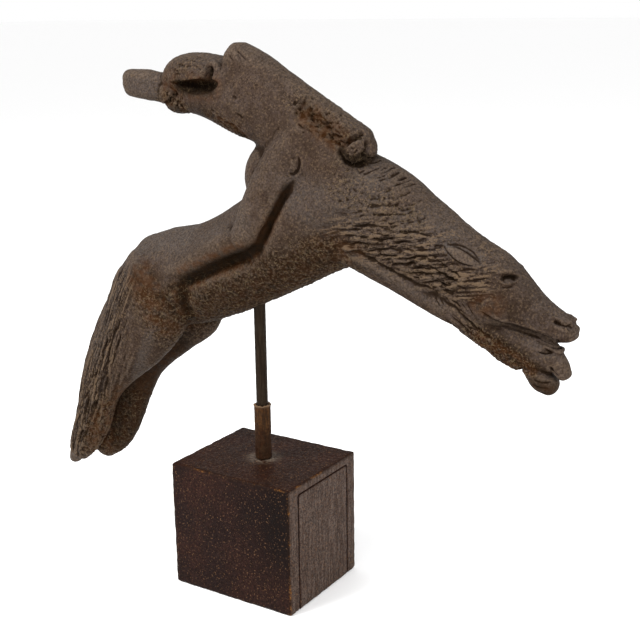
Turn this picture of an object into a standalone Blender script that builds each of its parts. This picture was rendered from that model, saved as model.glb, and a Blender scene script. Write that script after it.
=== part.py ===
"""Stretched horse with a rider leaning back, cast in bronze, on a steel rod over a wooden base block.

The bronze is one casting. Its forms are lofted from short rows of stations, fused by a voxel
remesh and thinned to a faceted solid. Lengths are in metres, +Z is up and the horse heads to +X.
The origin is at the middle of the base block's underside.
"""

import math

import bmesh
import bpy
import numpy as np
from mathutils import Matrix, Vector

# Driving dimensions of the stand
BLOCK_WIDTH = 0.120
BLOCK_DEPTH = 0.102
BLOCK_HEIGHT = 0.110
BLOCK_EDGE = 0.0016
PANEL_THICKNESS = 0.008
PANEL_SIDE_FRAME = 0.014
PANEL_TOP_FRAME = 0.008
PANEL_EDGE = 0.0004
ROD_DIAMETER = 0.010
ROD_RISE = 0.1285
ROD_SEAT_IN_BLOCK = 0.036
ROD_SEAT_IN_BRONZE = 0.014
ROD_CHAMFER = 0.0006
SOCKET_MARGIN = 0.012
SLEEVE_WALL = 0.0018
SLEEVE_LENGTH = 0.048
SLEEVE_RIM_LENGTH = 0.0016
SLEEVE_FLARE = 0.0006
GAP = 0.0003

# Driving dimensions of the bronze
WORK_LENGTH = 0.505
LENGTH_STEPS = 505.0

# The bronze is formed in steps, its length in 505 parts, and then set to size on the rod.
# Heights are counted from the ground, and the rod meets the belly at this one.
STEP = WORK_LENGTH / LENGTH_STEPS
BELLY_HEIGHT = 238.5
ROD_TOP = BLOCK_HEIGHT + ROD_RISE

# Stations of the horse: along, height, sideways (minus is the near side), half depth, half width
TRUNK = ((-104, 256, 0, 38, 30), (-76, 260, 0, 42, 34), (-45, 268, 0, 41, 35), (-15, 281, 0, 41, 37),
         (20, 300, 0, 43, 38), (55, 320, 0, 45, 37), (85, 332, 0, 45, 33), (110, 328, 0, 40, 28))
WITHERS = ((20, 352, 0, 30, 29), (50, 350, 0, 32, 31), (82, 344, 0, 32, 30), (112, 332, 0, 30, 28))
NECK = ((84, 336, 0, 44, 33), (112, 326, 0, 43, 31), (143, 310, 0, 39, 28), (172, 297, 0, 33, 25),
        (200, 284, 0, 30, 22))
SHOULDER_BAR = ((92, 304, -12, 13, 13), (112, 296, -11, 13, 13), (140, 285, -10, 13, 13),
                (170, 273, -9, 14, 13), (192, 264, -8, 14, 12), (212, 250, -6, 13, 11))
SKULL = ((190, 291, 0, 29, 21), (205, 284, 0, 28.5, 22), (220, 277, 0, 24, 20), (236, 269.5, 0, 17.5, 15),
         (250, 264, 0, 13, 12.5), (261, 260, 0, 11, 12), (266, 258, 0, 8, 10))
JAW = ((196, 262, 0, 19, 16), (212, 250, 0, 15, 14), (228, 243, 0, 12, 12), (243, 238, 0, 10, 11),
       (255, 235, 0, 8, 9.5))
JAW_FRINGE = ((205, 251, 0, 10, 11), (217, 241, 0, 11, 10), (230, 234, 0, 10, 8))
TONGUE = ((228, 254, 0, 3, 9), (246, 250, 0, 3, 8), (261, 244, 0, 2.5, 6))
LOWER_LIP = ((257, 239, 0, 6, 8), (261, 232, 0, 6.5, 8.5), (264, 227, 0, 5, 7.5))
CHIN = ((240, 229, 0, 8, 8), (247, 221, 0, 9, 9), (254, 217, 0, 7.5, 8.5))
CHEEK = (215, 273, -15, (15, 8, 14))
NOSTRIL = (264, 264, -7, (5, 4, 4))
BROW = ((212, 301, -13, 3, 3), (221, 296.5, -14, 3.5, 3), (231, 289, -12, 2.5, 3))
EAR = ((178, 312, -20, 2, 2), (186, 309.5, -20.5, 5, 2.6), (196, 305.5, -20, 4.5, 2.6), (204, 301, -17, 2, 2))
NEAR_LEG = ((-90, 262, -15, 36, 21), (-104, 236, -17, 41, 21), (-124, 206, -17, 35, 18),
            (-148, 175, -17, 24.5, 15), (-167, 144, -16, 16.5, 13), (-181, 115, -14, 17.5, 12),
            (-196, 92, -12, 15, 11), (-206, 78, -10, 11, 9))
FAR_LEG = ((-90, 262, 15, 36, 21), (-100, 237, 17, 49, 20), (-120, 206, 17, 35, 17),
           (-143, 172, 17, 22, 15), (-160, 142, 17, 21, 14), (-170, 118, 16, 21, 13),
           (-182, 95, 13, 20, 12), (-194, 80, 9, 15, 10))
TAIL = ((-112, 272, 0, 13, 14), (-130, 249, -2, 13, 15), (-150, 221, -4, 13, 17),
        (-165, 190, -6, 13, 17), (-178, 155, -8, 12, 16), (-190, 121, -8, 11, 14),
        (-204, 92, -7, 9, 11), (-219, 66, -4, 6, 7))

# Stations of the rider
TORSO = ((78, 352, 0, 32, 26), (50, 374, 0, 33, 28), (24, 397, 0, 27, 27), (-6, 408, 0, 27, 27),
         (-32, 415, 0, 25, 25), (-54, 415, 0, 19, 20))
FLANK = ((-4, 424, -5, 15, 20), (28, 409, -5, 17, 21), (60, 388, -4, 18, 23), (88, 368, -4, 18, 23))
ARM = ((-8, 440, -8, 15.5, 14), (11, 435.5, -9, 13, 13), (37, 421.5, -10, 12, 12),
       (63, 406.5, -10, 12, 12), (84, 393.5, -10, 12.5, 12.5), (102, 382.5, -10, 13.5, 13))
THIGH = ((53, 386, -12, 21, 18), (43, 363, -21, 19.5, 16), (31, 340, -29, 18, 14), (20, 317, -35, 15, 12),
         (14, 306, -37, 12.5, 11))
CALF = ((16, 305, -36, 11, 10), (-5, 300, -35, 11, 10), (-22, 292, -34, 10, 9), (-48, 278, -31, 8.5, 8),
        (-72, 270, -28, 7, 7), (-88, 264, -25, 5, 5))
HEAD_DOME = ((-80, 423, 0, 11, 12), (-72, 427, 0, 15.5, 16), (-56, 429, 0, 17, 18), (-38, 428, 0, 16.5, 18),
             (-25, 428, 0, 15, 18))
HEAD_TAB = ((-88, 417, 0, 12, 10), (-108, 420, 0, 11.5, 9.5), (-126.5, 420.5, 0, 11.5, 9))
HEAD_LUMP = ((-84, 409, 0, 6, 9), (-77, 405, 0, 8, 11), (-66, 406, 0, 9, 12))
HEAD_ARCH = ((-31, 418, -15, 2.5, 2.5), (-35, 428, -17, 3, 3), (-31, 438, -16, 3, 3),
             (-23, 437, -17, 3, 3), (-20, 426, -18, 2.5, 2.5))

# Hollows: along, height, sideways and three half axes
HEAD_HOLLOW = (-47, 417, -19, (22, 14, 6.5))
ARCH_HOLLOW = (-27, 428, -19, (4, 9, 8))
EYE_HOLLOW = (226, 294, -16, (6, 4.5, 3.2))
ARM_HOLLOW = (113, 378, -14, (6, 8, 8))

# Locks carved on the bronze: how many, how long as a share of their form, how thick in steps
MANE_ROWS = 6
MANE_LOCKS_PER_ROW = 3
MANE_LOCK_LENGTH = 0.30
MANE_LOCK_TURN = 34
MANE_LOCK_HALF = 2.6
MANE_START = 0.06
MANE_SPACING = 0.24
MANE_STAGGER = 0.1
MANE_FIRST_TURN = 62
MANE_ROW_TURN = 11
TAIL_STRANDS = 8
TAIL_STRAND_HALF = 2.3
TAIL_START = 0.2
TAIL_STAGGER = 0.07
TAIL_END = 0.97
TAIL_FIRST_TURN = 70
TAIL_STRAND_TURN = 19
TAIL_TWIST = 8
LEG_STRANDS = 4
LEG_STRAND_START = 0.2
LEG_FIRST_TURN = 102
LEG_STRAND_TURN = 17
LOCK_TIP = 0.35
LOCK_SINK = 1.0

# How finely the forms are built: remesh cells in steps, counts of smoothing, share of faces kept
FUSE_STEPS = 2.1
BLEND_COUNT = 9
SETTLE_COUNT = 2
THINNING = 0.07
SIDES = 24
SUBSTEPS = 4
CAP_RINGS = 3
ROUND_SIDES = 32
SMOOTH_ANGLE = math.radians(40)
HOLLOW_FUSE_STEPS = 1.2


def material(name, colour, roughness, metallic):
    """A plain finish: colour is linear RGB."""
    finish = bpy.data.materials.new(name)
    finish.use_nodes = True
    shader = finish.node_tree.nodes["Principled BSDF"]
    shader.inputs["Base Color"].default_value = (*colour, 1.0)
    shader.inputs["Roughness"].default_value = roughness
    shader.inputs["Metallic"].default_value = metallic
    finish.diffuse_color = (*colour, 1.0)
    return finish


def make_object(name, mesh_builder, finish, smooth_angle=None):
    """Put a bmesh into a new object of the scene."""
    mesh = bpy.data.meshes.new(name)
    mesh_builder.to_mesh(mesh)
    mesh_builder.free()
    obj = bpy.data.objects.new(name, mesh)
    bpy.context.scene.collection.objects.link(obj)
    if finish:
        mesh.materials.append(finish)
    if smooth_angle is not None:
        mesh.shade_smooth()
        mesh.set_sharp_from_angle(angle=smooth_angle)
    return obj


def hide_cutter(obj):
    """A cutter shows as wires and isn't part of the model."""
    obj.display_type = "WIRE"
    obj.hide_render = True


def cut(obj, cutter):
    """Take the cutter's space out of an object."""
    modifier = obj.modifiers.new("Cut " + cutter.name, "BOOLEAN")
    modifier.operation = "DIFFERENCE"
    modifier.object = cutter


def smooth_rows(rows, substeps=SUBSTEPS):
    """Read a smooth curve through rows of stations (Catmull-Rom)."""
    rows = np.array(rows, dtype=float)
    ends = np.vstack([2 * rows[0] - rows[1], rows, 2 * rows[-1] - rows[-2]])
    curve = []
    for first in range(len(rows) - 1):
        a, b, c, d = ends[first:first + 4]
        for t in np.arange(substeps) / substeps:
            curve.append(0.5 * (2 * b + (c - a) * t + (2 * a - 5 * b + 4 * c - d) * t ** 2
                                + (3 * b - a - 3 * c + d) * t ** 3))
    curve.append(rows[-1])
    return np.array(curve)


def place(along, height, sideways):
    """A point of the bronze, in steps."""
    return Vector((along, sideways, height))


def mirrored(rows):
    """The same form on the horse's far side."""
    return tuple((along, height, -sideways, deep, wide) for along, height, sideways, deep, wide in rows)


def recalculate(shape):
    """Turn every face of closed shells outwards."""
    bmesh.ops.recalc_face_normals(shape, faces=shape.faces)


def add_form(shape, rows, end_length=0.8):
    """Loft a closed round form through its stations, with domed ends."""
    curve = smooth_rows(rows)
    centres = [place(*row[:3]) for row in curve]
    halves = [(row[3], row[4]) for row in curve]
    last = len(centres) - 1
    frames = []
    for index in range(last + 1):
        ahead = (centres[min(index + 1, last)] - centres[max(index - 1, 0)]).normalized()
        up = ahead.cross(Vector((0, 1, 0))).normalized()
        frames.append((ahead, up, up.cross(ahead).normalized()))

    def ring(index, shift, scale):
        ahead, up, side = frames[index]
        deep, wide = halves[index]
        turns = [2 * math.pi * corner / SIDES for corner in range(SIDES)]
        return [shape.verts.new(centres[index] + ahead * shift + up * math.cos(turn) * deep * scale
                                + side * math.sin(turn) * wide * scale) for turn in turns]

    def dome(index, outward):
        reach = outward * min(halves[index]) * end_length
        turns = [math.pi / 2 * step / (CAP_RINGS + 1) for step in range(1, CAP_RINGS + 1)]
        rings = [ring(index, reach * math.sin(turn), math.cos(turn)) for turn in turns]
        return rings, shape.verts.new(centres[index] + frames[index][0] * reach)

    first_rings, first_pole = dome(0, -1)
    last_rings, last_pole = dome(last, 1)
    rings = first_rings[::-1] + [ring(index, 0, 1) for index in range(last + 1)] + last_rings
    for corner in range(SIDES):
        beside = (corner + 1) % SIDES
        shape.faces.new((first_pole, rings[0][beside], rings[0][corner]))
        shape.faces.new((last_pole, rings[-1][corner], rings[-1][beside]))
        for here, following in zip(rings, rings[1:]):
            shape.faces.new((here[corner], here[beside], following[beside], following[corner]))


def add_pair(shape, rows):
    """A form on the near side and its copy on the far side."""
    add_form(shape, rows)
    add_form(shape, mirrored(rows))


def add_ball(shape, along, height, sideways, halves):
    """A closed egg, centred by steps, with three half axes in steps."""
    scale = Matrix.Diagonal((*halves, 1.0))
    centre = Matrix.Translation(place(along, height, sideways))
    bmesh.ops.create_icosphere(shape, subdivisions=3, radius=1.0, matrix=centre @ scale)


def add_ball_pair(shape, along, height, sideways, halves):
    """An egg on the near side and its copy on the far side."""
    add_ball(shape, along, height, sideways, halves)
    add_ball(shape, along, height, -sideways, halves)


def skin(rows, share, turn, sink):
    """A point on a form's surface: share runs along the form, and turn is in degrees from its
    upper edge over its near side."""
    curve = smooth_rows(rows)
    position = share * (len(curve) - 1)
    index = min(int(position), len(curve) - 2)
    blend = position - index
    along, height, sideways, deep, wide = curve[index] * (1 - blend) + curve[index + 1] * blend
    run, rise = curve[index + 1][:2] - curve[index][:2]
    length = math.hypot(run, rise)
    up = (deep - sink) * math.cos(math.radians(turn))
    side = (wide - sink) * math.sin(math.radians(turn))
    return along - rise / length * up, height + run / length * up, sideways - side


def add_lock(shape, rows, start, end, half, far_side=False):
    """A raised lock over a form's surface, from one share and turn to another."""
    stations = []
    for part in (0.0, 0.25, 0.5, 0.75, 1.0):
        share = start[0] + (end[0] - start[0]) * part
        turn = start[1] + (end[1] - start[1]) * part
        thick = half * (LOCK_TIP + (1 - LOCK_TIP) * math.sin(math.pi * part))
        stations.append((*skin(rows, share, turn, LOCK_SINK), thick, thick))
    add_form(shape, mirrored(stations) if far_side else stations)


def add_mane(shape):
    """Locks that cross the side of the neck, nearly level, on both sides."""
    for row in range(MANE_ROWS):
        for lock in range(MANE_LOCKS_PER_ROW):
            share = MANE_START + lock * MANE_SPACING + MANE_STAGGER * (row % 2)
            turn = MANE_FIRST_TURN + row * MANE_ROW_TURN
            start, end = (share, turn), (share + MANE_LOCK_LENGTH, turn - MANE_LOCK_TURN)
            add_lock(shape, NECK, start, end, MANE_LOCK_HALF)
            if row % 2:
                add_lock(shape, NECK, start, end, MANE_LOCK_HALF, far_side=True)


def add_tail_strands(shape):
    """Long strands down the tail, round its back edge and over the near leg beside it."""
    for strand in range(TAIL_STRANDS):
        turn = TAIL_FIRST_TURN + strand * TAIL_STRAND_TURN
        start = (TAIL_START + TAIL_STAGGER * (strand % 3), turn)
        add_lock(shape, TAIL, start, (TAIL_END, turn + TAIL_TWIST), TAIL_STRAND_HALF)
    for strand in range(LEG_STRANDS):
        turn = LEG_FIRST_TURN + strand * LEG_STRAND_TURN
        start = (LEG_STRAND_START + TAIL_STAGGER * (strand % 2), turn)
        add_lock(shape, NEAR_LEG, start, (TAIL_END, turn + TAIL_TWIST), TAIL_STRAND_HALF)


def add_masses(shape):
    """The large forms of the horse and the rider, which flow into each other."""
    for rows in (TRUNK, WITHERS, NECK, SKULL, TAIL, NEAR_LEG, FAR_LEG, TORSO, FLANK, ARM, HEAD_DOME):
        add_form(shape, rows)
    for rows in (SHOULDER_BAR, THIGH, CALF):
        add_pair(shape, rows)
    add_ball_pair(shape, *CHEEK)


def add_details(shape):
    """The crisper forms: jaw and lips, brows, ears, the rider's plain head, mane and tail."""
    for rows in (JAW, JAW_FRINGE, TONGUE, LOWER_LIP, CHIN, HEAD_TAB, HEAD_LUMP, HEAD_ARCH):
        add_form(shape, rows)
    for rows in (BROW, EAR):
        add_pair(shape, rows)
    add_ball_pair(shape, *NOSTRIL)
    add_mane(shape)
    add_tail_strands(shape)


def bronze_hollows():
    """Cutter for the hollows under the head's dome, in its arch, at the eyes and in the arm's end."""
    shape = bmesh.new()
    add_ball(shape, *HEAD_HOLLOW)
    add_ball(shape, *ARCH_HOLLOW)
    add_ball(shape, *ARM_HOLLOW)
    add_ball_pair(shape, *EYE_HOLLOW)
    recalculate(shape)
    cutter = make_object("cutter_hollows", shape, None)
    fuse(cutter, HOLLOW_FUSE_STEPS, 0)
    hide_cutter(cutter)
    return cutter


def cylinder(name, diameter, bottom, top, finish=None, chamfer=0.0):
    """A round bar on the rod's axis, between two heights."""
    shape = bmesh.new()
    middle = Matrix.Translation((0, 0, (bottom + top) / 2))
    bmesh.ops.create_cone(shape, cap_ends=True, segments=ROUND_SIDES, radius1=diameter / 2,
                          radius2=diameter / 2, depth=top - bottom, matrix=middle)
    if chamfer:
        rims = [edge for edge in shape.edges if len({round(v.co.z, 6) for v in edge.verts}) == 1]
        bmesh.ops.bevel(shape, geom=rims, offset=chamfer, segments=1, affect="EDGES")
    return make_object(name, shape, finish, SMOOTH_ANGLE)


def box(name, low, high, finish=None, edge=0.0, segments=2):
    """A box between two corners, with rounded edges."""
    shape = bmesh.new()
    low, high = Vector(low), Vector(high)
    centre = Matrix.Translation((low + high) / 2)
    bmesh.ops.create_cube(shape, size=1.0, matrix=centre @ Matrix.Diagonal((*(high - low), 1.0)))
    if edge:
        bmesh.ops.bevel(shape, geom=shape.edges[:], offset=edge, segments=segments, profile=0.5,
                        affect="EDGES")
    return make_object(name, shape, finish, SMOOTH_ANGLE)


def fuse(obj, cell, count):
    """Fuse an object's overlapping shells into one skin and smooth it a number of times."""
    remesh = obj.modifiers.new("Fuse", "REMESH")
    remesh.mode = "VOXEL"
    remesh.voxel_size = cell
    if count:
        soften = obj.modifiers.new("Soften", "SMOOTH")
        soften.factor = 0.5
        soften.iterations = round(count)


def worked_in(obj):
    """An object's shape with its modifiers worked in; the object itself goes."""
    shape = bmesh.new()
    shape.from_object(obj, bpy.context.evaluated_depsgraph_get())
    bpy.data.objects.remove(obj)
    return shape


def blended_masses():
    """The large forms as one smooth shell, ready to take the details."""
    shape = bmesh.new()
    add_masses(shape)
    recalculate(shape)
    rough = make_object("masses", shape, None)
    fuse(rough, FUSE_STEPS, BLEND_COUNT)
    return worked_in(rough)


def formed_bronze():
    """The bronze in steps: fused forms with the hollows cut in, thinned to a faceted solid."""
    shape = blended_masses()
    details = bmesh.new()
    add_details(details)
    recalculate(details)
    extra = bpy.data.meshes.new("details")
    details.to_mesh(extra)
    details.free()
    shape.from_mesh(extra)
    bpy.data.meshes.remove(extra)
    detailed = make_object("detailed", shape, None)
    fuse(detailed, FUSE_STEPS, SETTLE_COUNT)
    hollows = bronze_hollows()
    cut(detailed, hollows)
    thin = detailed.modifiers.new("Thin", "DECIMATE")
    thin.ratio = THINNING
    formed = worked_in(detailed)
    bpy.data.objects.remove(hollows)
    return formed


def build_bronze():
    """The casting, set to size on the rod and drilled for it."""
    shape = formed_bronze()
    on_the_rod = Matrix.Translation((0, 0, ROD_TOP)) @ Matrix.Scale(STEP, 4)
    from_the_belly = Matrix.Translation((0, 0, -BELLY_HEIGHT))
    bmesh.ops.transform(shape, matrix=on_the_rod @ from_the_belly, verts=shape.verts)
    finish = material("Dark bronze", (0.075, 0.058, 0.045), 0.55, 0.7)
    bronze = make_object("horse_and_rider", shape, finish)
    socket_start = ROD_TOP - SOCKET_MARGIN
    socket = cylinder("cutter_socket", ROD_DIAMETER + 2 * GAP, socket_start, ROD_TOP + ROD_SEAT_IN_BRONZE)
    hide_cutter(socket)
    cut(bronze, socket)


def build_rod():
    """The steel rod, from its seat in the block to its seat in the bronze."""
    finish = material("Dark steel", (0.06, 0.05, 0.042), 0.45, 0.9)
    bottom = BLOCK_HEIGHT - ROD_SEAT_IN_BLOCK + GAP
    cylinder("mount_rod", ROD_DIAMETER, bottom, ROD_TOP + ROD_SEAT_IN_BRONZE - GAP, finish, ROD_CHAMFER)


def build_sleeve():
    """The rusty tube round the rod's foot, with a slightly flared upper rim."""
    bore = ROD_DIAMETER / 2 + GAP
    outside = bore + SLEEVE_WALL
    bottom = BLOCK_HEIGHT + GAP
    top = bottom + SLEEVE_LENGTH
    profile = ((bore, bottom), (outside, bottom), (outside, top - SLEEVE_RIM_LENGTH),
               (outside + SLEEVE_FLARE, top - SLEEVE_RIM_LENGTH / 2), (outside + SLEEVE_FLARE, top),
               (bore, top))
    shape = bmesh.new()
    corners = [shape.verts.new((radius, 0, height)) for radius, height in profile]
    edges = [shape.edges.new((corners[index - 1], corners[index])) for index in range(len(corners))]
    bmesh.ops.spin(shape, geom=corners + edges, cent=(0, 0, 0), axis=(0, 0, 1), angle=2 * math.pi,
                   steps=ROUND_SIDES, use_duplicate=False)
    bmesh.ops.remove_doubles(shape, verts=shape.verts, dist=GAP / 10)
    recalculate(shape)
    make_object("mount_sleeve", shape, material("Rusty steel", (0.16, 0.07, 0.03), 0.8, 0.4), SMOOTH_ANGLE)


def build_base():
    """The wooden block, with a panel let into each end between its top and its long sides."""
    wood = material("Dark stained wood", (0.035, 0.017, 0.012), 0.5, 0.0)
    half_width, half_depth = BLOCK_WIDTH / 2, BLOCK_DEPTH / 2
    block = box("base_block", (-half_width, -half_depth, 0), (half_width, half_depth, BLOCK_HEIGHT), wood,
                BLOCK_EDGE)
    panel_half = half_depth - PANEL_SIDE_FRAME
    panel_top = BLOCK_HEIGHT - PANEL_TOP_FRAME
    inner = half_width - PANEL_THICKNESS
    for side, name in ((1, "right"), (-1, "left")):
        reach = sorted((side * inner, side * half_width))
        box("base_end_panel_" + name, (reach[0], -panel_half, 0), (reach[1], panel_half, panel_top), wood,
            PANEL_EDGE, segments=1)
        recess = sorted((side * (inner - GAP), side * (half_width + BLOCK_EDGE)))
        cutter = box("cutter_recess_" + name, (recess[0], -panel_half - GAP, -BLOCK_EDGE),
                     (recess[1], panel_half + GAP, panel_top + GAP))
        hide_cutter(cutter)
        cut(block, cutter)
    hole = cylinder("cutter_rod_hole", ROD_DIAMETER + 2 * GAP, BLOCK_HEIGHT - ROD_SEAT_IN_BLOCK,
                    BLOCK_HEIGHT + BLOCK_EDGE)
    hide_cutter(hole)
    cut(block, hole)


def build():
    """Clear the scene and make every piece."""
    for old in list(bpy.data.objects):
        bpy.data.objects.remove(old)
    build_bronze()
    build_rod()
    build_sleeve()
    build_base()


build()
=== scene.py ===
# %% [markdown]
# # A bronze horse and rider on a rod and a wooden block
#
# The object is a cabinet bronze: a horse stretched into one long arch, with a rider who leans
# back over it. It was modelled in clay or wax and cast in one piece, then held up by a steel rod
# that stands in a rusty tube on a dark wooden block.
#
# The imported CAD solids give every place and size. This script dresses them: it models the bronze
# again at a finer grain, with the marks of the tool in it, and gives each piece its finish.

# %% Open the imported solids
import math

import bmesh
import bpy
import numpy as np
from mathutils import Matrix, Vector, noise
from mathutils.bvhtree import BVHTree


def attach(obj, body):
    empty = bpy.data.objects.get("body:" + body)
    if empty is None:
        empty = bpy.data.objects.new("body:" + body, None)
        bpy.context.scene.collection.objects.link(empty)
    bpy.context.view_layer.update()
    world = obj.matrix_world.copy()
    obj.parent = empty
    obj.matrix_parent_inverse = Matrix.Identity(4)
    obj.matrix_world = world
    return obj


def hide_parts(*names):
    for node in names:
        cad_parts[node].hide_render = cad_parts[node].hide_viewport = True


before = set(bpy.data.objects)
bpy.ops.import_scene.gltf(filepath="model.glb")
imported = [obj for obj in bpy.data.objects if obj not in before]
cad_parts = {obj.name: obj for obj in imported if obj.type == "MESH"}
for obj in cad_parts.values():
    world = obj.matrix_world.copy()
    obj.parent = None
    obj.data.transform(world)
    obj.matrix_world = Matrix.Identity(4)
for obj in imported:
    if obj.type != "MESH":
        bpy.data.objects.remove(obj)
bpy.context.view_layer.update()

scene = bpy.context.scene

# %% [markdown]
# ## Steps instead of metres
#
# The bronze is modelled in steps, one step being a millimetre of the real casting, and it is set
# to size at the very end. Cell sizes and stroke widths are then plain numbers to read. Heights
# count from the table, so a form's station reads as along, height, sideways.

# %% Stations of the horse
STEP = 0.001
TRUNK = ((-104, 256, 0, 38, 30), (-76, 260, 0, 42, 34), (-45, 268, 0, 41, 35), (-15, 281, 0, 41, 37),
         (20, 300, 0, 43, 38), (55, 320, 0, 45, 37), (85, 332, 0, 45, 33), (110, 328, 0, 40, 28))
WITHERS = ((20, 352, 0, 30, 29), (50, 350, 0, 32, 31), (82, 344, 0, 32, 30), (112, 332, 0, 30, 28))
NECK = ((84, 336, 0, 44, 33), (112, 326, 0, 43, 31), (143, 310, 0, 39, 28), (172, 297, 0, 33, 25),
        (200, 284, 0, 30, 22))
SHOULDER_BAR = ((92, 304, -12, 13, 13), (112, 296, -11, 13, 13), (140, 285, -10, 13, 13),
                (170, 273, -9, 14, 13), (192, 264, -8, 14, 12), (212, 250, -6, 13, 11))
SKULL = ((190, 291, 0, 29, 21), (205, 284, 0, 28.5, 22), (220, 277, 0, 24, 20), (236, 269.5, 0, 17.5, 15),
         (250, 264, 0, 13, 12.5), (261, 260, 0, 11, 12), (266, 258, 0, 8, 10))
JAW = ((196, 262, 0, 19, 16), (212, 250, 0, 15, 14), (228, 243, 0, 12, 12), (243, 238, 0, 10, 11),
       (255, 235, 0, 8, 9.5))
JAW_FRINGE = ((205, 251, 0, 10, 11), (217, 241, 0, 11, 10), (230, 234, 0, 10, 8))
TONGUE = ((228, 254, 0, 3, 9), (246, 250, 0, 3, 8), (261, 244, 0, 2.5, 6))
LOWER_LIP = ((257, 239, 0, 6, 8), (261, 232, 0, 6.5, 8.5), (264, 227, 0, 5, 7.5))
CHIN = ((240, 229, 0, 8, 8), (247, 221, 0, 9, 9), (254, 217, 0, 7.5, 8.5))
CHEEK = (215, 273, -15, (15, 8, 14))
NOSTRIL = (264, 264, -7, (5, 4, 4))
LIP_TIP = ((260, 255, 0, 3.5, 9.5), (267, 254.5, 0, 3, 7.5), (272, 256.5, 0, 1.6, 4.5))
GUM = ((208, 256, -4, 11, 11), (222, 250.5, -4, 10.5, 9.5), (234, 246.5, -3.5, 9, 9), (246, 242.5, -3, 7, 8))
NOSE_LOBE = ((257, 268, -5, 3, 3.5), (263, 266.5, -5.5, 3.5, 3.5), (268, 265.5, -5, 2.8, 3))
EAR = ((178, 312, -20, 2, 2), (186, 309.5, -20.5, 5, 2.6), (196, 305.5, -20, 4.5, 2.6), (204, 301, -17, 2, 2))
NEAR_LEG = ((-90, 262, -15, 36, 21), (-104, 236, -17, 41, 21), (-124, 206, -17, 35, 18),
            (-148, 175, -17, 24.5, 15), (-167, 144, -16, 16.5, 13), (-181, 115, -14, 17.5, 12),
            (-196, 92, -12, 15, 11), (-206, 78, -10, 11, 9))
FAR_LEG = ((-90, 262, 15, 36, 21), (-100, 237, 17, 49, 20), (-120, 206, 17, 35, 17),
           (-143, 172, 17, 22, 15), (-160, 142, 17, 21, 14), (-170, 118, 16, 21, 13),
           (-182, 95, 13, 20, 12), (-194, 80, 9, 15, 10))
TAIL = ((-112, 272, 0, 13, 14), (-130, 249, -2, 13, 15), (-150, 221, -4, 13, 17),
        (-165, 190, -6, 13, 17), (-178, 155, -8, 12, 16), (-190, 121, -8, 11, 14),
        (-204, 92, -7, 9, 11), (-219, 66, -4, 6, 7))

# %% Stations of the rider
TORSO = ((78, 352, 0, 32, 26), (50, 374, 0, 33, 28), (24, 397, 0, 27, 27), (-6, 408, 0, 27, 27),
         (-32, 415, 0, 25, 25), (-54, 415, 0, 19, 20))
FLANK = ((-4, 424, -5, 15, 20), (28, 409, -5, 17, 21), (60, 388, -4, 18, 23), (88, 368, -4, 18, 23))
ARM = ((-8, 440, -8, 15.5, 14), (11, 435.5, -9, 13, 13), (37, 421.5, -10, 12, 12),
       (63, 406.5, -10, 12, 12), (84, 393.5, -10, 12.5, 12.5), (102, 382.5, -10, 13.5, 13))
THIGH = ((53, 386, -12, 21, 18), (43, 363, -21, 19.5, 16), (31, 340, -29, 18, 14), (20, 317, -35, 15, 12),
         (14, 306, -37, 12.5, 11))
CALF = ((16, 305, -36, 11, 10), (-5, 300, -35, 11, 10), (-22, 292, -34, 10, 9), (-48, 278, -31, 8.5, 8),
        (-72, 270, -28, 7, 7), (-88, 264, -25, 5, 5))
HEAD_DOME = ((-80, 423, 0, 11, 12), (-72, 427, 0, 15.5, 16), (-56, 429, 0, 17, 18), (-38, 428, 0, 16.5, 18),
             (-25, 428, 0, 15, 18))
TAB_MIDDLE = ((-86, 416.5, 0, 10, 9.3), (-108, 419, 0, 10, 8.9), (-126, 420, 0, 9, 8.3))
TAB_UPPER = ((-88, 421, 0, 8, 9), (-108, 423.5, 0, 8, 8.5), (-126.5, 424, 0, 7.5, 8))
TAB_LOWER = ((-86, 412, 0, 8.5, 9), (-106, 414.5, 0, 8.5, 8.5), (-125, 416.5, 0, 8, 8))
HEAD_LUMP = ((-84, 409, 0, 6, 9), (-77, 405, 0, 8, 11), (-66, 406, 0, 9, 12))
HEAD_ARCH = ((-30, 418, -15, 2.2, 2.2), (-34, 428, -15.5, 2.5, 2.5), (-31, 437, -15, 2.5, 2.5),
             (-23, 436.5, -16, 2.8, 2.8), (-19, 426, -18, 3, 3), (-17, 416, -21, 2.5, 2.5))
HEAD_BUMP = (-33, 430, -17, (3.5, 7, 5))
LUMP_ROOT = (-80, 413, -5, (10, 8, 11))
FLANK_FOOT = ((50, 366, -8, 15, 21), (70, 368, -8, 16, 21), (90, 358, -8, 16, 21), (104, 350, -8, 14, 19))
CALF_WEB = ((10, 312, -26, 10, 11), (-8, 306, -25, 10, 11), (-28, 297, -24, 9, 11), (-52, 284, -22, 8, 10),
            (-74, 275, -20, 6, 9))
ARM_END = (103.5, 378.8, -11, (12.6, 13.6, 13))
ARM_WEB = ((-8, 430, -8, 14, 15), (18, 422, -10, 14, 16), (46, 405, -10, 14, 16.5), (72, 388, -9, 14, 17))

# %% Stations of the cuts
HEAD_CAVITY = ((-74, 423, -20, 0.8, 5), (-63, 421.5, -19, 2.6, 8), (-50, 420.5, -19, 5, 11),
               (-38, 420, -21, 6.5, 11), (-27, 421, -24, 6, 9), (-20, 423, -27, 4, 6))
ARCH_HOLLOW = (-27, 429, -20, (3.5, 8, 8))
SOCKET = (224, 252.5)
SOCKET_HALF = 5.3

# %% [markdown]
# ## Lofts, the clay rolls of the model
#
# A clay figure starts as rolls and balls pressed together. A loft does the same: it runs a smooth
# curve through a few stations and puts an oval at each, wide and deep as the station says. Both
# ends get a dome, so every roll is closed and can be fused with its neighbours.

# %% Lofts and eggs
SIDES = 32
SUBSTEPS = 6
CAP_RINGS = 4


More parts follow.
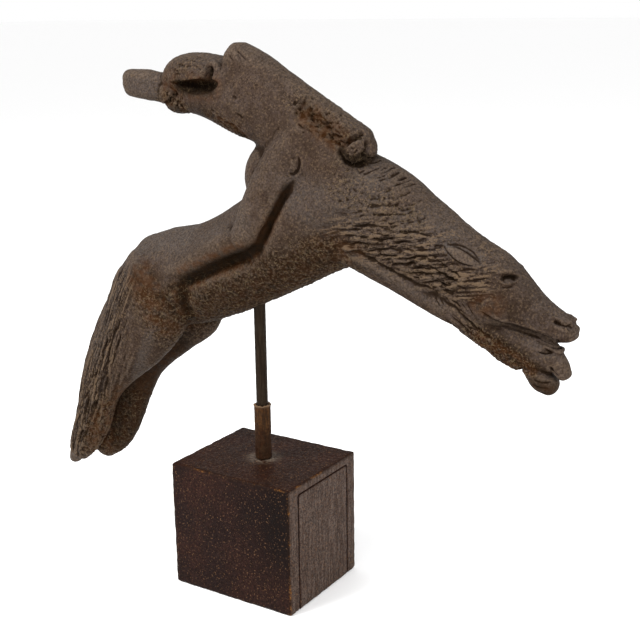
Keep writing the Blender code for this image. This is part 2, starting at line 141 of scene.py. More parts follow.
def smooth_rows(rows, substeps=SUBSTEPS):
    """Read a smooth curve through rows of stations (Catmull-Rom)."""
    rows = np.array(rows, dtype=float)
    ends = np.vstack([2 * rows[0] - rows[1], rows, 2 * rows[-1] - rows[-2]])
    curve = []
    for first in range(len(rows) - 1):
        a, b, c, d = ends[first:first + 4]
        for t in np.arange(substeps) / substeps:
            curve.append(0.5 * (2 * b + (c - a) * t + (2 * a - 5 * b + 4 * c - d) * t ** 2
                                + (3 * b - a - 3 * c + d) * t ** 3))
    curve.append(rows[-1])
    return np.array(curve)


def mirrored(rows):
    """The same form on the far side."""
    return tuple((along, height, -sideways, deep, wide) for along, height, sideways, deep, wide in rows)


def unit(vectors):
    """Vectors brought to a length of one."""
    return vectors / np.maximum(np.linalg.norm(vectors, axis=-1, keepdims=True), 1e-9)


def loft(rows, end_length=0.8):
    """Points and faces of a closed round form through its stations."""
    curve = smooth_rows(rows)
    centres = curve[:, [0, 2, 1]]
    ahead = unit(np.gradient(centres, axis=0))
    up = unit(np.cross(ahead, (0.0, 1.0, 0.0)))
    side = np.cross(up, ahead)
    dome = np.pi / 2 * np.arange(1, CAP_RINGS + 1) / (CAP_RINGS + 1)
    last = len(curve) - 1
    plan = [(0, -math.sin(t), math.cos(t)) for t in dome[::-1]] + [(i, 0.0, 1.0) for i in range(last + 1)]
    plan += [(last, math.sin(t), math.cos(t)) for t in dome]
    turns = 2 * np.pi * np.arange(SIDES) / SIDES
    points = []
    for index, push, scale in plan:
        deep, wide = curve[index, 3:]
        oval = np.outer(np.cos(turns) * deep, up[index]) + np.outer(np.sin(turns) * wide, side[index])
        reach = push * min(deep, wide) * end_length
        points.append(centres[index] + ahead[index] * reach + scale * oval)
    points = np.vstack(points)
    poles = [centres[i] + ahead[i] * sign * min(curve[i, 3], curve[i, 4]) * end_length
             for i, sign in ((0, -1), (last, 1))]
    first_pole, last_pole = len(points), len(points) + 1
    faces = []
    for ring in range(len(plan) - 1):
        for corner in range(SIDES):
            beside = (corner + 1) % SIDES
            faces.append((ring * SIDES + corner, ring * SIDES + beside, (ring + 1) * SIDES + beside,
                          (ring + 1) * SIDES + corner))
    top = (len(plan) - 1) * SIDES
    for corner in range(SIDES):
        beside = (corner + 1) % SIDES
        faces.append((first_pole, beside, corner))
        faces.append((last_pole, top + corner, top + beside))
    return np.vstack([points, poles]), faces


def egg(along, height, sideways, halves):
    """Points and faces of an egg, as a loft along its length."""
    reach = halves[0]
    shares = np.cos(np.pi * np.arange(0.5, 9) / 9)
    rows = []
    for share in shares:
        width = math.sqrt(1 - share * share)
        rows.append((along - reach * share, height, sideways, halves[2] * width, halves[1] * width))
    return loft(rows, 0.4)


def both_lofts(rows):
    """A form on the near side and its mirror on the far side."""
    return [loft(rows), loft(mirrored(rows))]


def both_eggs(along, height, sideways, halves):
    """The same egg on the near and the far side."""
    return [egg(along, height, side * sideways, halves) for side in (1, -1)]


# %% From points to objects
def mesh_object(name, shells):
    """One object from several closed shells, with its faces turned outwards."""
    points, faces, start = [], [], 0
    for shell_points, shell_faces in shells:
        points.append(shell_points)
        faces += [tuple(corner + start for corner in face) for face in shell_faces]
        start += len(shell_points)
    mesh = bpy.data.meshes.new(name)
    mesh.from_pydata(np.vstack(points).tolist(), [], faces)
    turned = bmesh.new()
    turned.from_mesh(mesh)
    bmesh.ops.recalc_face_normals(turned, faces=turned.faces)
    turned.to_mesh(mesh)
    turned.free()
    made = bpy.data.objects.new(name, mesh)
    scene.collection.objects.link(made)
    return made


def worked_in(source):
    """Replace an object's mesh by its evaluated one, so no modifier is left on it."""
    deps = bpy.context.evaluated_depsgraph_get()
    mesh = bpy.data.meshes.new_from_object(source.evaluated_get(deps), preserve_all_data_layers=True,
                                           depsgraph=deps)
    old = source.data
    source.modifiers.clear()
    source.data = mesh
    bpy.data.meshes.remove(old)
    return source


def fused(source, cell, count):
    """Fuse the shells of an object into one skin and smooth it a number of times."""
    remesh = source.modifiers.new("Fuse", "REMESH")
    remesh.mode = "VOXEL"
    remesh.voxel_size = cell
    if count:
        soften = source.modifiers.new("Soften", "SMOOTH")
        soften.factor = 0.5
        soften.iterations = count
    return worked_in(source)


def joined(name, sources):
    """Several objects as one."""
    together = bmesh.new()
    for source in sources:
        together.from_mesh(source.data)
        bpy.data.objects.remove(source)
    mesh = bpy.data.meshes.new(name)
    together.to_mesh(mesh)
    together.free()
    made = bpy.data.objects.new(name, mesh)
    scene.collection.objects.link(made)
    return made


# %% [markdown]
# ## The large masses
#
# The trunk, neck, skull, legs and the rider's body flow into each other without a seam. So they are
# fused first, with small cells, and smoothed until the joins turn into soft hollows, as a thumb
# would do it.

# %% Fuse the masses
MASS_CELL = 1.5
MASS_COUNT = 18
single = (TRUNK, WITHERS, NECK, SKULL, TAIL, NEAR_LEG, FAR_LEG, TORSO, FLANK, FLANK_FOOT, ARM, ARM_WEB,
          HEAD_DOME)
shells = [loft(rows) for rows in single]
for rows in (SHOULDER_BAR, THIGH, CALF, CALF_WEB):
    shells += both_lofts(rows)
shells += both_eggs(*CHEEK)
masses = fused(mesh_object("masses", shells), MASS_CELL, MASS_COUNT)
print("masses:", len(shells), "rolls fused into", len(masses.data.vertices), "points")

# %% [markdown]
# ### Eased joins
#
# Where the modeller wiped a join flat with a thumb, the seam between two rolls is gone. A zone is a
# path seen from the side with a half width, and inside it the skin is relaxed many times towards the
# mean of its neighbours, so the seam fills up while the rest keeps its form.

# %% Helpers for points and zones
def read_points(obj):
    """An object's points and their normals as arrays."""
    count = len(obj.data.vertices)
    points, normals = np.empty(count * 3), np.empty(count * 3, dtype=np.float32)
    obj.data.vertices.foreach_get("co", points)
    obj.data.vertex_normals.foreach_get("vector", normals)
    return points.reshape(-1, 3), normals.reshape(-1, 3).astype(float)


def write_points(obj, points):
    """Put an array of points back."""
    obj.data.vertices.foreach_set("co", points.ravel())
    obj.data.update()


def smooth_path(points, substeps=5):
    """A smooth curve through the points of a path."""
    return smooth_rows(points, substeps) if len(points) > 2 else np.array(points, dtype=float)


def to_path(points, path, half):
    """From 1 on a path of (along, height) places to 0 at its half width, seen from the side."""
    line = smooth_path(path)
    best = np.full(len(points), 1e9)
    flat = points[:, [0, 2]]
    for index in range(len(line) - 1):
        leg = line[index + 1] - line[index]
        t = np.clip((flat - line[index]) @ leg / max(leg @ leg, 1e-9), 0, 1)
        best = np.minimum(best, np.linalg.norm(flat - line[index] - t[:, None] * leg, axis=1))
    edge = np.clip(1.4 * (1 - best / half), 0, 1)
    return edge * edge * (3 - 2 * edge)


def zone(points, rows):
    """The strongest of several paths at each point. A row holds a path, its half width, its amount and,
    if it is painted on one side only, which side."""
    sides = {"near": points[:, 1] < 0, "far": points[:, 1] > 2}
    painted = []
    for path, half, amount, *side in rows:
        share = amount * to_path(points, path, half)
        painted.append(share * sides[side[0]] if side else share)
    return np.maximum.reduce(painted)


def neighbours_mean(values, edges, degree):
    """The mean of each point's neighbours."""
    both, other = edges.ravel(), edges[:, ::-1].ravel()
    total = [np.bincount(both, weights=values[other, axis], minlength=len(values)) for axis in range(3)]
    return np.stack(total, axis=1) / degree[:, None]


def links_of(obj):
    """Pairs of joined points, and how many links each point has."""
    edges = np.empty(len(obj.data.edges) * 2, dtype=np.int32)
    obj.data.edges.foreach_get("vertices", edges)
    edges = edges.reshape(-1, 2)
    return edges, np.bincount(edges.ravel(), minlength=len(obj.data.vertices)).astype(float)


# %% Ease the joins
EASE_ROUNDS = 90
EASED = ((((-12, 428), (16, 420), (45, 402), (72, 386), (92, 374)), 11, 1.0),
         (((60, 376), (80, 366), (98, 354)), 15, 1.0),
         (((4, 324), (-17, 312), (-40, 299), (-70, 283)), 9, 0.9),
         (((-101, 286), (-87, 277), (-76, 266)), 10, 0.9),
         (((20, 400), (-10, 402), (-30, 398)), 14, 0.6),
         (((96, 306), (118, 298), (142, 288), (164, 280)), 7, 0.8))


def ease(obj, rows, rounds):
    """Relax the skin inside a zone towards the mean of its neighbours."""
    points = read_points(obj)[0]
    edges, degree = links_of(obj)
    share = zone(points, rows)[:, None]
    for _ in range(rounds):
        points += share * 0.6 * (neighbours_mean(points, edges, degree) - points)
    write_points(obj, points)
    return int((share > 0.1).sum())


print("eased points:", ease(masses, EASED, EASE_ROUNDS))

# %% [markdown]
# ## Locks by Geometry Nodes
#
# The mane and the tail are bundles of strands that lie over the body. Drawing each one by hand
# would take a day, so a node tree does it: each guide line is copied a number of times, the copies
# spread and wave a little, they are pulled down onto the skin, and a thin tapering round runs
# along each. The seed keeps the result the same on every run.

# %% A node tree with named sockets
def socket_tree(name, kind, inputs, outputs):
    """A node group with its sockets: name, type and, for an input, its usual value."""
    tree = bpy.data.node_groups.new(name, kind)
    for label, sort, *usual in inputs:
        made = tree.interface.new_socket(name=label, in_out="INPUT", socket_type="NodeSocket" + sort)
        if usual:
            made.default_value = usual[0]
    for label, sort in outputs:
        tree.interface.new_socket(name=label, in_out="OUTPUT", socket_type="NodeSocket" + sort)
    return tree, tree.nodes.new("NodeGroupInput"), tree.nodes.new("NodeGroupOutput")


def node(tree, sort, operation=None, inputs=None, **settings):
    """A node whose inputs are given by name or number, as values or as sockets to link."""
    made = tree.nodes.new(sort)
    if operation:
        made.operation = operation
    for key, value in settings.items():
        setattr(made, key, value)
    for key, value in (inputs or {}).items():
        if isinstance(value, bpy.types.NodeSocket):
            tree.links.new(value, made.inputs[key])
        else:
            made.inputs[key].default_value = value
    return made


def use_tree(target, tree, **values):
    """Put a tree on an object, set its inputs by identifier, and work it in."""
    modifier = target.modifiers.new(tree.name, "NODES")
    modifier.node_group = tree
    named = {item.name.replace(" ", "_"): item.identifier for item in tree.interface.items_tree
             if item.item_type == "SOCKET" and item.in_out == "INPUT"}
    for label, value in values.items():
        modifier[named[label]] = value
    return worked_in(target)


# %% Sums in a tree
def maths(tree, operation, *values):
    """A sum on numbers or sockets."""
    return node(tree, "ShaderNodeMath", operation, dict(enumerate(values))).outputs[0]


def times(tree, *values):
    """Two numbers or sockets multiplied."""
    return maths(tree, "MULTIPLY", *values)


def plus(tree, *values):
    """Two numbers or sockets added."""
    return maths(tree, "ADD", *values)


def vector_sum(tree, operation, first, second):
    """A sum on two vectors, or a vector scaled by a number."""
    inputs = {0: first, ("Scale" if operation == "SCALE" else 1): second}
    return node(tree, "ShaderNodeVectorMath", operation, inputs).outputs[0]


def drawn_number(tree, least, most, seed, **inputs):
    """A random number between two values."""
    inputs.update({"Seed": seed})
    made = node(tree, "FunctionNodeRandomValue", inputs={2: least, 3: most, **inputs}, data_type="FLOAT")
    return made.outputs[1]


# %% The tree of strands
plain = bpy.data.materials.new("Clay")
strand_tree, given, result = socket_tree(
    "Strands over a skin", "GeometryNodeTree",
    (("Geometry", "Geometry"), ("Skin", "Object"), ("Strands", "Int", 5), ("Spread", "Float", 4.0),
     ("Wave", "Float", 1.5), ("Wave Length", "Float", 18.0), ("Ragged Ends", "Float", 0.25),
     ("Half", "Float", 1.8), ("Lift", "Float", 0.4), ("Seed", "Int", 1), ("Material", "Material")),
    (("Geometry", "Geometry"),))
t = strand_tree
give = given.outputs
lines = node(t, "GeometryNodeMeshToCurve", inputs={"Mesh": give["Geometry"]})
copies = node(t, "GeometryNodeDuplicateElements", domain="SPLINE",
              inputs={"Geometry": lines.outputs[0], "Amount": give["Strands"]})
spline = node(t, "GeometryNodeCurveOfPoint").outputs[0]
cut_start = drawn_number(t, 0.0, give["Ragged Ends"], give["Seed"])
cut_end = drawn_number(t, 0.0, give["Ragged Ends"], plus(t, give["Seed"], 7.0))
trimmed = node(t, "GeometryNodeTrimCurve", mode="FACTOR",
               inputs={"Curve": copies.outputs[0], 2: cut_start, 3: maths(t, "SUBTRACT", 1.0, cut_end)})
even = node(t, "GeometryNodeResampleCurve", inputs={"Curve": trimmed.outputs[0], "Count": 22}, mode="COUNT")

# %% Spread and wave the copies
shift = node(t, "FunctionNodeRandomValue", data_type="FLOAT_VECTOR",
             inputs={0: (-1.0, -1.0, -1.0), 1: (1.0, 1.0, 1.0), "ID": spline,
                     "Seed": plus(t, give["Seed"], 19.0)}).outputs[0]
apart = vector_sum(t, "SCALE", shift, give["Spread"])
here = node(t, "GeometryNodeInputPosition").outputs[0]
place_for_noise = vector_sum(t, "ADD", here, vector_sum(t, "SCALE", shift, 60.0))
ripple = node(t, "ShaderNodeTexNoise", inputs={"Vector": place_for_noise, "Detail": 1.0,
                                               "Scale": maths(t, "DIVIDE", 1.0, give["Wave Length"])})
centred = vector_sum(t, "SUBTRACT", ripple.outputs["Color"], (0.5, 0.5, 0.5))
waving = vector_sum(t, "SCALE", centred, times(t, give["Wave"], 4.0))
moved = node(t, "GeometryNodeSetPosition",
             inputs={"Geometry": even.outputs[0], "Offset": vector_sum(t, "ADD", apart, waving)})

# %% Pull them onto the skin and give them their rounds
skin_info = node(t, "GeometryNodeObjectInfo", inputs={"Object": give["Skin"]}, transform_space="RELATIVE")
skin_here = skin_info.outputs["Geometry"]
nearest = node(t, "GeometryNodeProximity", inputs={0: skin_here}, target_element="FACES")
skin_normal = node(t, "GeometryNodeInputNormal").outputs[0]
outward = node(t, "GeometryNodeSampleNearestSurface", inputs={0: skin_here, "Value": skin_normal},
               data_type="FLOAT_VECTOR")
raised = vector_sum(t, "SCALE", outward.outputs[0], give["Lift"])
on_skin = vector_sum(t, "ADD", nearest.outputs["Position"], raised)
laid = node(t, "GeometryNodeSetPosition", inputs={"Geometry": moved.outputs[0], "Position": on_skin})
share = node(t, "GeometryNodeSplineParameter").outputs[0]
swell = maths(t, "SINE", times(t, share, math.pi))
full = maths(t, "POWER", swell, 0.6)
thick = drawn_number(t, 0.6, 1.15, give["Seed"], ID=spline)
round_half = maths(t, "MAXIMUM", times(t, times(t, full, thick), give["Half"]), 0.25)
sized = node(t, "GeometryNodeSetCurveRadius", inputs={"Curve": laid.outputs[0], "Radius": round_half})
ring = node(t, "GeometryNodeCurvePrimitiveCircle", inputs={"Resolution": 7, "Radius": 1.0}, mode="RADIUS")
tubes = node(t, "GeometryNodeCurveToMesh",
             inputs={"Curve": sized.outputs[0], "Profile Curve": ring.outputs[0], "Fill Caps": True})
if "Scale" in tubes.inputs:
    t.links.new(node(t, "GeometryNodeInputRadius").outputs[0], tubes.inputs["Scale"])


def end_tree(tree, made, material, into):
    """Realize what a tree made, give it its material and hand it out."""
    real = node(tree, "GeometryNodeRealizeInstances", inputs={"Geometry": made})
    done = node(tree, "GeometryNodeSetMaterial", inputs={"Geometry": real.outputs[0], "Material": material})
    tree.links.new(done.outputs[0], into.inputs[0])


end_tree(t, tubes.outputs[0], give["Material"], result)
print("the strand tree has", len(t.nodes), "nodes")


# %% Guides on the skin
def skin_of(obj):
    """A search tree of an object's faces, for casting lines onto it."""
    faces = [tuple(polygon.vertices) for polygon in obj.data.polygons]
    return BVHTree.FromPolygons([vertex.co for vertex in obj.data.vertices], faces)


def near_side(skin, along, height, far=False):
    """The point where a level line from the near or far side meets the skin."""
    sign = 1 if far else -1
    found = skin.ray_cast(Vector((along, sign * 200, height)), Vector((0, -sign, 0)))[0]
    if found is None:
        found = skin.find_nearest(Vector((along, sign * 20, height)))[0]
    return tuple(found)


def form_point(rows, share_along, turn, sink=0.0):
    """A point on a form's surface: its share along, and a turn in degrees from the top edge
    over the near side."""
    curve = smooth_rows(rows)
    place_in = min(share_along, 0.9999) * (len(curve) - 1)
    index = int(place_in)
    along, height, sideways, deep, wide = (curve[index] * (1 - place_in + index)
                                           + curve[index + 1] * (place_in - index))
    run, rise = unit(curve[index + 1][:2] - curve[index][:2])
    up = (deep - sink) * math.cos(math.radians(turn))
    out = (wide - sink) * math.sin(math.radians(turn))
    return along - rise * up, sideways - out, height + run * up


def guide_object(name, guides):
    """Guide lines as one object of edges."""
    points, edges = [], []
    for guide in guides:
        edges += [(len(points) + i, len(points) + i + 1) for i in range(len(guide) - 1)]
        points += [tuple(map(float, point)) for point in guide]
    mesh = bpy.data.meshes.new(name)
    mesh.from_pydata(points, edges, [])
    made = bpy.data.objects.new(name, mesh)
    scene.collection.objects.link(made)
    return made


mass_skin = skin_of(masses)
MANE_GUIDES = (((112, 338), (130, 337), (150, 338)), ((104, 327), (122, 328), (142, 331), (164, 330)),
               ((98, 315), (116, 318), (138, 322), (162, 322), (178, 320)),
               ((98, 307), (118, 310), (140, 315), (160, 316), (176, 315)),
               ((104, 301), (124, 304), (144, 309), (164, 311), (180, 310)),
               ((112, 297), (132, 299), (152, 303), (170, 306), (184, 306)),
               ((124, 293), (144, 295), (162, 298), (178, 301), (192, 302)),
               ((138, 288), (156, 290), (172, 293), (188, 297)),
               ((154, 284), (170, 286), (184, 288), (196, 292)))
TAIL_GUIDES = (((-132, 250), (-150, 215), (-168, 175), (-184, 135), (-200, 95), (-212, 72)),
               ((-124, 240), (-142, 208), (-160, 170), (-177, 130), (-195, 94), (-208, 74)),
               ((-118, 228), (-135, 198), (-152, 165), (-169, 128), (-186, 97), (-199, 80)),
               ((-114, 214), (-128, 190), (-144, 160), (-163, 126)),
               ((-112, 200), (-124, 180), (-138, 157)))


def side_lines(guides, sides):
    """Guide lines cast onto the skin on the sides asked for; False is the near side."""
    return [[near_side(mass_skin, *point, far) for point in guide] for guide in guides for far in sides]


def strands(name, lines, **values):
    """Strands along guide lines, over the skin of the masses."""
    return use_tree(guide_object(name, lines), strand_tree, Skin=masses, Material=plain, **values)


mane_lines = side_lines(MANE_GUIDES, (False, True))
tail_lines = [[form_point(TAIL, share, turn - 20 * share) for share in np.linspace(0.14, 1.0, 12)]
              for turn in range(30, 335, 20)]
leg_lines = side_lines(TAIL_GUIDES, (False,))
mane = strands("mane", mane_lines, Strands=4, Spread=4.5, Wave=1.3, Wave_Length=16.0, Ragged_Ends=0.34,
               Half=1.7, Lift=0.0, Seed=4)
fine_mane = strands("fine_mane", mane_lines, Strands=9, Spread=5.5, Wave=1.6, Wave_Length=11.0,
                    Ragged_Ends=0.42, Half=0.95, Lift=0.5, Seed=21)
tail = strands("tail", tail_lines, Strands=4, Spread=3.0, Wave=1.1, Wave_Length=22.0, Ragged_Ends=0.22,
               Half=1.7, Lift=0.3, Seed=9)
fine_tail = strands("fine_tail", leg_lines, Strands=12, Spread=5.5, Wave=1.2, Wave_Length=24.0,
                    Ragged_Ends=0.34, Half=0.95, Lift=0.3, Seed=13)
for made in (mane, fine_mane, tail, fine_tail):
    print(made.name, "has", len(made.data.vertices), "points")

# %% [markdown]
# ## The crisp forms
#
# Jaw, lips, gums, ears and the rider's plain head have sharper joins than the body. They are laid
# over the smooth masses and fused again with much finer cells and hardly any smoothing, so their
# edges stay. The hollow in the rider's head and the seat of the rod are taken out after that.

# %% Add the crisp forms
crisp = [loft(rows) for rows in (JAW, JAW_FRINGE, TONGUE, LOWER_LIP, CHIN, LIP_TIP, TAB_UPPER, TAB_MIDDLE,
                                 TAB_LOWER, HEAD_LUMP, HEAD_ARCH)]
crisp += [egg(*form) for form in (HEAD_BUMP, LUMP_ROOT, ARM_END)]
for rows in (EAR, GUM, NOSE_LOBE):
    crisp += both_lofts(rows)
crisp += both_eggs(*NOSTRIL)
details = mesh_object("details", crisp)
FINE_CELL = 0.9
bronze = fused(joined("bronze_casting", (masses, mane, fine_mane, tail, fine_tail, details)), FINE_CELL, 2)
print("bronze:", len(bronze.data.vertices), "points after fusing with", FINE_CELL, "step cells")

NECK_JOIN = ((((-99, 428), (-98, 406)), 7, 1.0), (((-96, 432), (-88, 440)), 5, 0.6))
print("eased points:", ease(bronze, NECK_JOIN, 60))

# %% Take out the hollows
hollows = fused(mesh_object("hollows", [loft(HEAD_CAVITY), egg(*ARCH_HOLLOW)]), 0.8, 1)
socket = bmesh.new()
socket.from_mesh(hollows.data)
bmesh.ops.create_cone(socket, cap_ends=True, segments=48, radius1=SOCKET_HALF, radius2=SOCKET_HALF,
                      depth=SOCKET[1] - SOCKET[0],
                      matrix=Matrix.Translation((0, 0, (SOCKET[0] + SOCKET[1]) / 2)))
socket.to_mesh(hollows.data)
socket.free()
taken = bronze.modifiers.new("Hollows", "BOOLEAN")
taken.operation = "DIFFERENCE"
taken.object = hollows
worked_in(bronze)
bpy.data.objects.remove(hollows)
print("bronze:", len(bronze.data.vertices), "points with its hollows")

# %% [markdown]
# ## The tool's strokes
#
# The deep grooves beside the rider's leg, the slit of the mouth, the eye and the curled hand were
# pressed in with a tool. A stroke here is a path over the skin with a width and a depth: every
# point near the path moves along its own normal, most at the middle. A minus depth cuts, a plus
# depth raises a ridge.
#
# The back of the arm and the hair carry dozens of short marks. They are scattered round a path by
# seeded dice, each with its own place, length and slope, so no two are alike and every run is.

# %% More points where the work is small
FINE_EGGS = (((226, 0, 262), (44, 40, 40)), ((106, -14, 380), (16, 20, 18)),
             ((-40, -16, 420), (44, 18, 24)))


def refine(obj, centre, halves):
    """Split the edges inside an egg, so that small features get enough points."""
    shape = bmesh.new()
    shape.from_mesh(obj.data)
    middle, sizes = Vector(centre), Vector(halves)
    inside = []
    for edge in shape.edges:
        away = (edge.verts[0].co + edge.verts[1].co) / 2 - middle
        if (away.x / sizes.x) ** 2 + (away.y / sizes.y) ** 2 + (away.z / sizes.z) ** 2 < 1:
            inside.append(edge)
    bmesh.ops.subdivide_edges(shape, edges=inside, cuts=1, use_grid_fill=True)
    bmesh.ops.triangulate(shape, faces=[face for face in shape.faces if len(face.verts) > 4])
    shape.to_mesh(obj.data)
    shape.free()


for centre, halves in FINE_EGGS:
    refine(bronze, centre, halves)
print("bronze:", len(bronze.data.vertices), "points after refining the faces of the work")


# %% One stroke
def stroke(points, by_along, skin, path, half, depth, far=False, ends=0.25):
    """How far each point moves for one stroke along (along, height) places on one side. The points
    come with their order along the work and their places in that order, to find the near ones fast."""
    line = np.array([near_side(skin, *place_on, far) for place_on in smooth_path(path)])
    reach = 3 * half
    low, high = line.min(axis=0) - reach, line.max(axis=0) + reach
    order, sorted_along = by_along
    first, last = np.searchsorted(sorted_along, (low[0], high[0]))
    chosen = order[first:last]
    chosen = chosen[((points[chosen] > low) & (points[chosen] < high)).all(axis=1)]
    moved = np.zeros(len(points))
    if not len(chosen):
        return moved
    local = points[chosen]
    best, share = np.full(len(chosen), 1e9), np.zeros(len(chosen))
    steps = np.linalg.norm(np.diff(line, axis=0), axis=1)
    run = np.concatenate([[0], np.cumsum(steps)]) / max(steps.sum(), 1e-9)
    for index in range(len(line) - 1):
        leg = line[index + 1] - line[index]
        t = np.clip((local - line[index]) @ leg / max(leg @ leg, 1e-9), 0, 1)
        far_off = np.linalg.norm(local - line[index] - t[:, None] * leg, axis=1)
        closer = far_off < best
        best = np.where(closer, far_off, best)
        share = np.where(closer, run[index] + t * (run[index + 1] - run[index]), share)
    shape = np.exp(-(best / half) ** 2)
    fade = np.clip(np.minimum(share, 1 - share) / ends + 0.15, 0, 1) if ends else 1.0
    moved[chosen] = depth * shape * fade
    return moved


def work(obj, strokes, far_too=()):
    """Lay strokes on an object: each is a path, half width, depth and, if wanted, its options."""
    points, normals = read_points(obj)
    skin = skin_of(obj)
    order = np.argsort(points[:, 0])
    by_along = (order, points[order, 0])
    total = np.zeros(len(points))
    for rows, far in ((strokes, False), (far_too, True)):
        for path, half, depth, *options in rows:
            total += stroke(points, by_along, skin, path, half, depth, far, **(options[0] if options else {}))
    write_points(obj, points + normals * total[:, None])
    return np.abs(total).max()


def scattered(path, spread, count, length, slope, half, depth, seed):
    """Short strokes scattered round a path, each with its own place, length and slope."""
    dice = np.random.default_rng(seed)
    line = smooth_path(path)
    made = []
    for _ in range(count):
        start = line[dice.integers(len(line))] + np.clip(dice.normal(0, spread / 2, 2), -spread, spread)
        angle = math.radians(slope + dice.normal(0, 9))
        step = np.array([math.cos(angle), math.sin(angle)]) * length * dice.uniform(0.5, 1.3)
        middle = start + step / 2 + np.array([-step[1], step[0]]) * dice.uniform(-0.14, 0.14)
        made.append(((tuple(start), tuple(middle), tuple(start + step)), half * dice.uniform(0.8, 1.25),
                     depth * dice.uniform(0.5, 1.2)))
    return tuple(made)


# %% The rider's leg, the hand and the folds
BODY_STROKES = (
    (((56, 352), (49, 340), (43, 328), (36, 315), (30, 304)), 2.7, -3.8),
    (((40, 322), (34, 312), (28, 302), (20, 297)), 4.2, -2.6),
    (((28, 300), (12, 292), (-3, 285), (-25, 274), (-47, 264), (-66, 256)), 4.0, -5.4),
    (((24, 292), (6, 285), (-12, 277)), 4.2, -3.0),
    (((-52, 262), (-55, 250), (-55, 240), (-53, 230)), 5.0, -4.2),
    (((-46, 258), (-50, 248)), 4.0, -2.0),
    (((61.5, 372), (61.5, 365), (58, 359.5), (55, 360)), 1.0, -1.9),
    (((57.5, 371), (58, 362)), 2.8, 1.3),
    (((-12, 394), (-2, 388), (4, 380)), 3.0, -1.4),
    (((-3, 450), (4, 445), (11, 440)), 0.9, -0.9),
    (((-1, 447), (5, 441)), 0.8, -0.8),
    (((-8, 446), (-2, 440)), 0.8, -0.7),
    (((-2, 415), (3, 413)), 1.0, -1.1),
    (((2, 402), (8, 398)), 1.0, -1.0),
    (((60, 409), (74, 399), (90, 388)), 7.0, -0.8),
)
PITS = (scattered(((60, 408), (74, 400), (88, 391)), 9, 60, 3.4, -36, 0.8, -1.6, 31)
        + scattered(((62, 402), (78, 392), (92, 383)), 7, 30, 5.0, -30, 0.75, -1.2, 32)
        + scattered(((112, 366), (125, 361), (140, 353)), 9, 26, 6.0, 24, 0.75, -1.1, 33)
        + scattered(((-20, 396), (-8, 390), (2, 384)), 7, 22, 4.0, -30, 0.8, -1.1, 34)
        + scattered(((-76, 408), (-66, 405)), 7, 26, 3.5, 40, 0.85, -1.6, 35)
        + scattered(((-70, 434), (-56, 438), (-44, 436)), 9, 26, 3.5, 10, 0.8, -0.9, 36))
FIST_STROKES = (
    (((97, 381), (101, 385), (106, 389), (110, 391)), 2.1, -4.0, {"ends": 0.1}),
    (((105, 387), (109, 388)), 1.5, -2.2, {"ends": 0}),
    (((112, 375), (114, 379.5), (113.5, 383.5)), 2.3, -3.4, {"ends": 0}),
    (((92.5, 378.5), (95.5, 372.5), (100, 368.6), (106, 367.6), (111.5, 370.5)), 1.4, -2.6, {"ends": 0.1}),
    (((98, 379), (100, 373), (104.5, 370.5), (109, 372)), 1.5, 1.4),
    (((102, 377), (105.5, 375)), 1.8, 1.2),
    (((103, 380.5), (107, 379.5)), 1.0, -1.0),
    (((105.5, 376), (108.5, 379.5)), 0.9, -1.1),
)
deepest = work(bronze, BODY_STROKES + PITS + FIST_STROKES, far_too=BODY_STROKES[:4])
print("the rider's strokes reach", round(deepest, 1), "steps deep")

# %% The horse's eye, cheek, mouth and nose
FACE_STROKES = (
    (((220.5, 295.6), (223, 296.8), (226.5, 296.6), (229.5, 295.2)), 1.5, -2.6, {"ends": 0.15}),
    (((221.5, 294.4), (225, 295.2), (229.2, 294.8)), 1.7, -2.0, {"ends": 0.1}),
    (((220.3, 293.2), (223.3, 291.4), (227, 291.4), (230.4, 293.2)), 0.9, 1.3),
    (((221.5, 289.6), (225, 288.8), (229, 289.8)), 0.75, -0.5),
    (((218.5, 298.2), (222.5, 299.8), (227.5, 298.8)), 1.6, 0.8),
    (((206, 268), (212, 264.6), (219, 264.6), (225, 268)), 1.3, -1.0),
    (((206, 272), (209, 279), (216, 282), (224, 280)), 1.2, -0.5),
    (((209, 270.5), (214, 267.2), (222, 263.6), (230, 260.8), (241, 258.0), (252, 255.4), (263, 253.0)),
     1.35, -3.4, {"ends": 0.12}),
    (((212, 272.4), (222, 266.8), (231, 264), (243, 261.4), (256, 258.6)), 1.5, 0.9),
    (((216, 260), (226, 256.8), (236, 253.8), (244, 251.6)), 1.5, 1.1),
    (((246, 254.4), (252, 252.8), (258, 250.6), (262, 248.6)), 0.9, 1.6),
    (((244, 251.6), (250, 249.6), (256, 247.6), (262, 246.6)), 1.1, -2.6, {"ends": 0.2}),
    (((258, 268), (262, 266.4), (266, 265.4), (270, 264.8), (274, 264.4)), 1.3, -3.0, {"ends": 0.1}),
    (((264, 270.4), (268, 269.8), (271, 267.6)), 1.5, 1.0),
    (((266, 261.4), (270, 260.6), (273, 258.6)), 1.5, 1.0),
    (((255, 270.6), (260, 269.4), (265, 267)), 1.3, 0.7),
    (((258, 264.6), (263, 262.4), (268, 260.8)), 1.3, 0.6),
    (((247, 244.4), (251, 242.6), (256, 243.0)), 0.8, -1.5),
    (((256.5, 234), (258.5, 230), (262, 227.4)), 1.1, -2.2),
    (((244, 222.6), (250, 221.2), (257, 222)), 0.8, -1.3),
    (((243, 218.8), (249, 217.2), (257, 217.8)), 0.8, -1.3),
    (((245, 214.2), (251, 213), (257, 214)), 0.7, -1.1),
    (((178, 315), (183, 309.6), (189, 305), (197, 302.4), (203, 302.6)), 0.75, -1.6),
    (((179, 316), (188, 315.6), (197, 312), (203, 307)), 0.8, -0.9),
    (((185, 311.6), (191, 309), (197, 306.4)), 2.0, -0.6),
)
deepest = work(bronze, FACE_STROKES, far_too=FACE_STROKES)
print("the face's strokes reach", round(deepest, 1), "steps deep")

